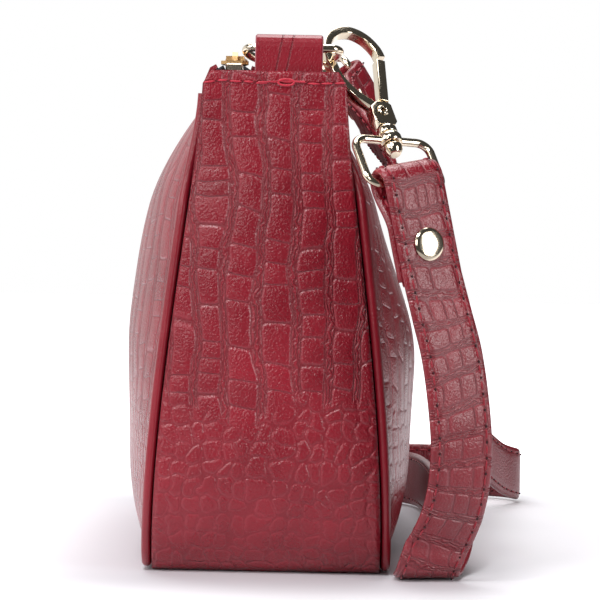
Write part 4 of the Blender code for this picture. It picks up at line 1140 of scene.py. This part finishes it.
class BAG_OT_top(bpy.types.Operator):
    """Dresses the facings, the zip and its slider"""

    bl_idname = "bag.top"
    bl_label = "Facings and zip"

    def execute(self, context):
        facing = leather_material("facing leather", embossed=False, pebbled=0.25)
        dress(facing, "front_facing", "back_facing")
        dress(cloth_material("zip tape"), "zip_tape_front", "zip_tape_back")
        metal = metal_material("zip metal", roughness=0.2)
        dress(metal, "zip_teeth_front", "zip_teeth_back", "zip_near_stop", "zip_far_stop")
        warm = metal_material("slider gold", tint=(1.0, 0.72, 0.42), roughness=0.3)
        dress(warm, "zip_slider", "zip_pull")
        return {"FINISHED"}


class BAG_OT_inside(bpy.types.Operator):
    """Dresses the lining, its pocket and the base board"""

    bl_idname = "bag.inside"
    bl_label = "Inside"

    def execute(self, context):
        dress(cloth_material("lining cloth", thread_mm=0.6), "lining", "inner_pocket")
        board = matt_material("base board", 900.0, 4.0, (0.30, 0.22, 0.14), (0.48, 0.38, 0.26), 0.9)
        dress(board, "base_board")
        return {"FINISHED"}


class BAG_OT_tabs(bpy.types.Operator):
    """Dresses the leather loops that hold the D-rings"""

    bl_idname = "bag.tabs"
    bl_label = "Tabs"

    def execute(self, context):
        for end in ENDS:
            leather = leather_material(f"{end} tab leather", embossed=False, tab=True, pebbled=0.16)
            dress(leather, f"{end}_tab")
        return {"FINISHED"}


class BAG_OT_rings(bpy.types.Operator):
    """Makes the D-rings and the strap's oblong rings"""

    bl_idname = "bag.rings"
    bl_label = "Rings"

    def execute(self, context):
        gold = metal_material("ring gold")
        for end, sign in ENDS.items():
            way = self.d_ring(end, sign)
            ring = bevelled_bar(f"{end}_d_ring_wire", way, RING_WIRE - RING_THINNED, cyclic=True)
            finish_piece(ring, gold, f"{end}_ring", f"{end}_d_ring")
            loop = bevelled_bar(f"{end}_strap_ring_wire", self.oblong(), LOOP_WIRE, cyclic=True)
            boss = turned("boss", rounded_profile([
                (0, BOSS_HALF), (BOSS_RADIUS * 0.85, BOSS_HALF), (BOSS_RADIUS, BOSS_HALF * 0.5),
                (BOSS_RADIUS, -BOSS_HALF * 0.5), (BOSS_RADIUS * 0.85, -BOSS_HALF), (0, -BOSS_HALF),
            ], 0.6 * MM))
            combine(loop, boss, "UNION")
            bore = cylinder("bore", POST_RADIUS + TOUCH, 6 * BOSS_HALF, Matrix.Identity(4))
            combine(loop, bore, "DIFFERENCE")
            settled(loop, hook_matrix(end))
            finish_piece(loop, gold, f"{end}_loop", f"{end}_strap_ring")
        return {"FINISHED"}

    def d_ring(self, end, sign):
        middle = RING_HALF - RING_CORNER
        points = [(s * middle, 0.0) for s in (-1, -0.5, 0, 0.5, 1)]
        points += arc(middle, RING_CORNER, RING_CORNER, RING_CORNER, -90, 0, 10)[1:]
        points += arc(0.0, RING_CORNER, RING_HALF, RING_DEPTH - RING_CORNER, 0, 180, 40)[1:-1]
        points += arc(-middle, RING_CORNER, RING_CORNER, RING_CORNER, 180, 270, 10)[:-1]
        lean = math.radians(RING_LEAN[end])
        inward = Vector((-sign * math.cos(lean), 0.0, math.sin(lean)))
        bar = Vector((sign * RING_X, RING_Y, RING_Z))
        return [bar + Vector((0.0, y, 0.0)) + inward * depth for y, depth in points]

    def oblong(self):
        aside, top, foot = LOOP_HALF - LOOP_CORNER, -LOOP_CORNER, LOOP_CORNER - LOOP_LENGTH
        points = []
        for x, z, first in ((aside, top, 90), (aside, foot, 0), (-aside, foot, -90), (-aside, top, -180)):
            points += arc(x, z, LOOP_CORNER, LOOP_CORNER, first, first - 90, 12)
        return [(x, 0.0, z) for x, z in points]


class BAG_OT_hooks(bpy.types.Operator):
    """Makes the two swivel snap hooks"""

    bl_idname = "bag.hooks"
    bl_label = "Snap hooks"

    def execute(self, context):
        gold = metal_material("hook gold", roughness=0.11)
        pieces = {"hook_body": self.body, "swivel_post": self.post, "gate_rivet": self.rivet}
        for end in ENDS:
            matrix = hook_matrix(end)
            for piece, make in pieces.items():
                made = settled(make(f"{end}_{piece}_metal"), matrix)
                finish_piece(made, gold, f"{end}_hook", f"{end}_{piece}")
            gate = settled(self.gate(f"{end}_gate_metal"), matrix)
            finish_piece(gate, gold, f"{end}_gate_bar", f"{end}_gate")
            dress(gold, f"{end}_gate_spring")
        return {"FINISHED"}

    def across(self):
        return Matrix.Translation((0, 0, GATE_PIVOT)) @ Matrix.Rotation(math.radians(90), 4, "X")

    def bored(self, piece):
        """The piece with the hole for the gate's rivet."""
        bore = cylinder("bore", GATE_RIVET + TOUCH, 4 * HOOK_THICK, self.across())
        return combine(piece, bore, "DIFFERENCE")

    def body(self, name):
        line = [Vector(point) * MM for point in spline_through(HOOK_SPINE, 8)]
        left, right = [], []
        for i, point in enumerate(line):
            along = (line[min(i + 1, len(line) - 1)] - line[max(i - 1, 0)]).normalized()
            side = Vector((-along.y, along.x)) * HOOK_BAR
            left.append(tuple(point + side))
            right.append(tuple(point - side))
        bow = plate(name, left + right[::-1], HOOK_THICK, HOOK_BEVEL)
        block = plate("block", [
            (-0.7 * BLOCK_HALF, BLOCK_FOOT), (0.7 * BLOCK_HALF, BLOCK_FOOT),
            (BLOCK_HALF, BLOCK_FOOT + 1.4 * MM), (BLOCK_HALF, BLOCK_HEAD - 1.2 * MM),
            (0.7 * BLOCK_HALF, BLOCK_HEAD), (-0.3 * BLOCK_HALF, BLOCK_HEAD),
            (-BLOCK_HALF, BLOCK_HEAD - 2.4 * MM), (-BLOCK_HALF, BLOCK_FOOT + 1.4 * MM),
        ], BLOCK_THICK, HOOK_BEVEL)
        combine(bow, block, "UNION")
        beyond, over = BLOCK_HALF + 2 * MM, BLOCK_HEAD + 3 * MM
        slot = [(-0.42 * BLOCK_HALF, SLOT_FLOOR), (beyond, SLOT_FLOOR), (beyond, over), (-2.6 * MM, over)]
        combine(bow, plate("slot", slot, GATE_SLOT), "DIFFERENCE")
        return self.bored(bow)

    def gate(self, name):
        foot, tip = Vector((2.1 * MM, GATE_SHOULDER)), Vector(GATE_TIP)
        along = (tip - foot).normalized()
        side = Vector((-along.y, along.x)) * GATE_HALF
        shape = [tuple(foot + side), tuple(foot - side), tuple(tip - side), tuple(tip + side)]
        bar = plate(name, shape, HOOK_THICK, HOOK_BEVEL)
        lug = plate("lug", [
            (foot.x + 1.0 * MM, GATE_SHOULDER + 2.0 * MM), (foot.x - 1.0 * MM, GATE_SHOULDER + 2.0 * MM),
            (-0.9 * MM, GATE_PIVOT + 1.2 * MM), (-1.6 * MM, GATE_PIVOT), (-1.3 * MM, GATE_PIVOT - 1.4 * MM),
            (0.0, GATE_PIVOT - 2.0 * MM), (1.4 * MM, GATE_PIVOT - 1.4 * MM), (2.0 * MM, GATE_PIVOT),
            (2.4 * MM, GATE_PIVOT + 2.0 * MM),
        ], GATE_SLOT - 2 * TOUCH)
        return self.bored(combine(bar, lug, "UNION"))

    def rivet(self, name):
        face = BLOCK_THICK / 2 + 0.1 * MM
        upper = [
            (RIVET_BORE, 0), (RIVET_BORE, face + RIVET_RISE * 0.7), (RIVET_BORE * 1.2, face + RIVET_RISE),
            (RIVET_HEAD * 0.75, face + RIVET_RISE), (RIVET_HEAD, face), (GATE_RIVET, face),
        ]
        profile = upper + [(radius, -height) for radius, height in reversed(upper)]
        rivet = turned(name, rounded_profile(profile, 0.15 * MM))
        rivet.data.transform(self.across())
        return rivet

    def post(self, name):
        foot, boss_top = BLOCK_FOOT - TOUCH, BOSS_HALF + TOUCH
        knob_foot = -boss_top - KNOB_LENGTH
        return turned(name, rounded_profile([
            (0, foot), (NECK_RADIUS * 0.82, foot), (NECK_RADIUS, BLOCK_FOOT - 1.0 * MM),
            (NECK_RADIUS, boss_top + 0.4 * MM), (NECK_RADIUS * 0.9, boss_top), (POST_RADIUS, boss_top),
            (POST_RADIUS, -boss_top), (KNOB_RADIUS * 0.85, -boss_top), (KNOB_RADIUS, -boss_top - 0.9 * MM),
            (KNOB_RADIUS * 0.92, -boss_top - 2.2 * MM), (KNOB_RADIUS * 0.6, knob_foot), (0, knob_foot),
        ], 0.35 * MM))


class BAG_OT_rivets(bpy.types.Operator):
    """Makes the round rivets that close the strap's folded ends"""

    bl_idname = "bag.rivets"
    bl_label = "Strap rivets"

    def execute(self, context):
        gold = metal_material("rivet gold", roughness=0.16)
        face = STRAP_THICK + 1.5 * TOUCH
        for end in ENDS:
            middle, hang, across, out = fold_frame(end)
            origin = middle + hang * RIVET_DOWN + out * (FOLD_RADIUS - (STRAP_THICK + TOUCH) / 2)
            turn = Matrix((across, out.cross(across), out)).transposed().to_4x4()
            rivet = turned(f"{end}_strap_rivet_cap", rounded_profile([
                (0, face + CAP_HEIGHT), (CAP_RADIUS * 0.5, face + CAP_HEIGHT * 0.96),
                (CAP_RADIUS * 0.84, face + CAP_HEIGHT * 0.72), (CAP_RADIUS, face + 0.1 * MM),
                (CAP_RADIUS * 0.96, face - 0.1 * MM), (SHANK_RADIUS, face), (SHANK_RADIUS, -face),
                (CAP_RADIUS * 0.86, -face), (CAP_RADIUS * 0.8, -face - 0.7 * MM), (0, -face - 0.8 * MM),
            ], 0.5 * MM))
            settled(rivet, Matrix.Translation(origin) @ turn)
            finish_piece(rivet, gold, "bag", f"{end}_strap_rivet")
        return {"FINISHED"}


class BAG_OT_strap(bpy.types.Operator):
    """Makes the strap with its folded, riveted ends"""

    bl_idname = "bag.strap"
    bl_label = "Strap"

    def execute(self, context):
        shares = [-math.cos(math.pi * k / 30) for k in range(31)]
        half = STRAP_WIDTH / 2
        rows, places = [], []
        for point, across, out, run in strap_frames():
            front = [point + across * (share * half) + out * strap_half(share) for share in shares]
            back = [point + across * (share * half) - out * strap_half(share) for share in shares[::-1]]
            rows.append(front + back[1:-1])
            here = [((1 + share) * half, run) for share in shares]
            beyond = [(2.5 * STRAP_WIDTH - (1 + share) * half, run) for share in shares[::-1]]
            places.append(here + beyond[1:-1])
        strap = surface_from_rows("strap_leather", rows, places, closed=True)
        bm = bmesh.new()
        bm.from_mesh(strap.data)
        bmesh.ops.holes_fill(bm, edges=[e for e in bm.edges if e.is_boundary], sides=0)
        bmesh.ops.recalc_face_normals(bm, faces=bm.faces)
        bm.to_mesh(strap.data)
        bm.free()
        material = leather_material(
            "strap leather", seed=57.0, across=True, small=(-900.0, -990.0), cells=(8.4, 6.2, 2.0),
            roughness=0.34, gloss=0.8)
        finish_piece(strap, material, "bag", "strap")
        return {"FINISHED"}


class BAG_OT_sewing(bpy.types.Operator):
    """Sews the strap's edges and the gusset's hems"""

    bl_idname = "bag.sewing"
    bl_label = "Stitching"

    def execute(self, context):
        self.strap_seams()
        thread = thread_material("sewing thread")
        self.hem_seams(thread)
        self.hem_knot(thread)
        return {"FINISHED"}

    def strap_seams(self):
        lift = strap_half(STITCH_SHARE) + 0.12 * MM
        lines = []
        for side in (-1, 1):
            for face in (-1, 1):
                line = []
                for point, across, out, _ in strap_frames():
                    place = point + across * (side * STITCH_SHARE * STRAP_WIDTH / 2)
                    line.append((place + out * (face * lift), out * face))
                lines.append(line)
        sew("strap_stitches", lines, "bag", thread_material("strap thread", 0.6))
        # Painted shade: dark specks between the stitches stand in for the shade inside the needle holes.
        dark = matt_material("needle holes", 900.0, 2.0, (0.02, 0.001, 0.003), (0.06, 0.004, 0.009), 0.7)
        between = sizes().stitch_pitch / 2
        sew("strap_holes", lines, "bag", dark, length=HOLE_LENGTH, thread=HOLE_WIDTH, shift=between)

    def hem_seams(self, thread):
        half = gusset_half(HEM_STITCH) - 2.0 * MM
        hems = []
        for sign in ENDS.values():
            face = sign * (HALF_LENGTH + 0.2 * MM)
            line = []
            for y in spread(-half, half, 40):
                wobble = 0.22 * MM * math.sin(y / (2.9 * MM)) + 0.12 * MM * math.sin(y / (1.3 * MM) + 1)
                line.append(((face, y, HEM_STITCH + wobble), (sign, 0.0, 0.0)))
            hems.append(line)
        sew("hem_stitches", hems, "bag", thread, pitch=HEM_PITCH, length=HEM_PITCH)

    def hem_knot(self, thread):
        face = HALF_LENGTH + 0.3 * MM
        knot = [(face, -5.0 * MM, HEM_STITCH - 0.2 * MM)]
        for y, z in arc(3.4 * MM, HEM_STITCH, 2.4 * MM, 0.95 * MM, -200, 160, 24):
            knot.append((face + 0.2 * MM, y, z))
        knot.append((face, 9.0 * MM, HEM_STITCH + 0.3 * MM))
        loop = bevelled_bar("hem_knot", knot, 0.38 * MM, sides=2)
        loop.data.materials.append(thread)
        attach(loop, "bag")


class BAG_OT_stage(bpy.types.Operator):
    """Makes the floor, the light and the camera"""

    bl_idname = "bag.stage"
    bl_label = "Stage"

    def execute(self, context):
        self.make_floor()
        self.make_world(context.scene)
        self.make_lights()
        self.make_camera(context.scene)
        context.scene.view_settings.view_transform = "Standard"
        return {"FINISHED"}

    def make_floor(self):
        mesh = bpy.data.meshes.new("floor")
        reach, front = 4.0, 0.32
        corners = [(-reach, -reach, 0), (front, -reach, 0), (front, reach, 0), (-reach, reach, 0)]
        mesh.from_pydata(corners, [], [(0, 1, 2, 3)])
        floor = linked("floor", mesh)
        floor.location.z = CAD_BOX[0][2] - 0.2 * MM
        material, tree, shader = new_material("pale floor")
        rays = add(tree, "ShaderNodeLightPath").outputs
        place = object_place(tree)
        at = parts_of(place)
        in_gloss = times(rays["Is Glossy Ray"], ramp(at["X"], 0.12, 0.18))
        in_spill = times(rays["Is Diffuse Ray"], ramp(at["Y"], 0.0, 0.08))
        mirrored = times(rays["Is Glossy Ray"], ramp(at["X"], 0.05, 0.35, 0.5, 0.0))
        seen = larger(larger(rays["Is Camera Ray"], rays["Is Transmission Ray"]), mirrored)
        folded = vector_maths("ABSOLUTE", place)
        outside = vector_maths("SUBTRACT", folded, (HALF_LENGTH, BASE_HALF, 1.0))
        gap = vector_maths("LENGTH", vector_maths("MAXIMUM", outside, (0.0, 0.0, 0.0)))
        # Painted shadow: the floor's colour darkens within about 55 mm of the bag.
        pale = blend_colour(ramp(gap, 0.0, 0.055), (0.68, 0.66, 0.70), (0.85, 0.84, 0.88))
        # Painted shadow: the glow seen by the camera fades out close to the bag, so the floor there looks
        # darker.
        near = ramp(gap, 0.012, 0.06, 0.0, 0.16)
        backdrop = plus(near, ramp(vector_maths("LENGTH", place), 0.16, 0.5, 0.0, 0.84))
        glow = follow("ShaderNodeEmission", {"Color": WHITE, "Strength": times(seen, backdrop)})[0]
        both = follow("ShaderNodeAddShader", {0: shader.outputs[0], 1: glow})[0]
        fill_in(tree.nodes["Material Output"], {"Surface": both})
        fill_in(shader, {
            "Base Color": blend_colour(larger(in_gloss, in_spill), pale, (0.3, 0.3, 0.31)),
            "Roughness": 0.6, "Specular IOR Level": 0.2,
        })
        material.cycles.emission_sampling = "NONE"
        mesh.materials.append(material)

    def make_world(self, scene):
        world = bpy.data.worlds.new("studio")
        scene.world = world
        world.use_nodes = True
        tree = world.node_tree
        rays = add(tree, "ShaderNodeLightPath").outputs
        seen = larger(rays["Is Camera Ray"], rays["Is Transmission Ray"])
        toward = parts_of(add(tree, "ShaderNodeTexCoord").outputs["Generated"])
        behind = ramp(toward["X"], -0.3, 0.3, 1.0, 0.0)
        low = ramp(toward["Z"], 0.3, 0.7, 1.0, 0.0)
        left = ramp(toward["Y"], 0.05, 0.35, 1.0, 0.0)
        mirrored = times_plus(times(times(behind, low), left), 0.75, 0.05)
        fill = ramp(toward["Y"], -1.0, 0.7, 0.40, 0.02)
        lit = mixed(rays["Is Glossy Ray"], fill, mirrored)
        fill_in(tree.nodes["Background"], {"Color": WHITE, "Strength": mixed(seen, lit, 1.0)})
        world.cycles.sampling_method = "NONE"

    def make_lights(self):
        for name, place, size, power in SOFTBOXES:
            light = bpy.data.lights.new(name, "AREA")
            light.shape = "RECTANGLE"
            light.size, light.size_y = size
            light.energy = power
            lamp = linked(name, light)
            lamp.location = place
            lamp.rotation_euler = (LIGHT_AIM - Vector(place)).to_track_quat("-Z", "Y").to_euler()

    def make_camera(self, scene):
        camera = bpy.data.cameras.new("camera")
        camera.lens = 160.0
        camera.sensor_width = 36.0
        view = linked("camera", camera)
        ahead = Matrix.Rotation(math.radians(90), 4, "Z")
        level = Matrix.Rotation(math.radians(90) + math.radians(CAMERA_PITCH), 4, "X")
        roll = Matrix.Rotation(math.radians(CAMERA_ROLL), 4, "Z")
        view.matrix_world = Matrix.Translation(CAMERA_PLACE) @ (ahead @ level) @ roll
        scene.camera = view


class BAG_PT_tools(bpy.types.Panel):
    """Lists the bag's pieces, sizes and colours"""

    bl_idname = "BAG_PT_tools"
    bl_label = "Crossbody Bag"
    bl_space_type = "VIEW_3D"
    bl_region_type = "UI"
    bl_category = "Crossbody Bag"

    def draw(self, context):
        for operator in OPERATORS:
            self.layout.operator(operator.bl_idname)
        for group in (context.scene.bag_sizes, context.scene.bag_colours):
            for name in group.bl_rna.properties.keys():
                if name not in ("rna_type", "name"):
                    self.layout.prop(group, name)


OPERATORS = (
    BAG_OT_stage, BAG_OT_gusset, BAG_OT_panels, BAG_OT_piping, BAG_OT_top, BAG_OT_inside, BAG_OT_tabs,
    BAG_OT_rings, BAG_OT_hooks, BAG_OT_rivets, BAG_OT_strap, BAG_OT_sewing,
)
CLASSES = (BagSizes, BagColours, *OPERATORS, BAG_PT_tools)


def register():
    for cls in CLASSES:
        bpy.utils.register_class(cls)
    bpy.types.Scene.bag_sizes = PointerProperty(type=BagSizes)
    bpy.types.Scene.bag_colours = PointerProperty(type=BagColours)


def unregister():
    del bpy.types.Scene.bag_colours
    del bpy.types.Scene.bag_sizes
    for cls in reversed(CLASSES):
        bpy.utils.unregister_class(cls)


def main():
    register()
    bpy.ops.bag.stage()
    bpy.ops.bag.gusset()
    bpy.ops.bag.panels()
    bpy.ops.bag.piping()
    bpy.ops.bag.top()
    bpy.ops.bag.inside()
    bpy.ops.bag.tabs()
    bpy.ops.bag.rings()
    bpy.ops.bag.hooks()
    bpy.ops.bag.rivets()
    bpy.ops.bag.strap()
    bpy.ops.bag.sewing()


if __name__ == "__main__":
    main()
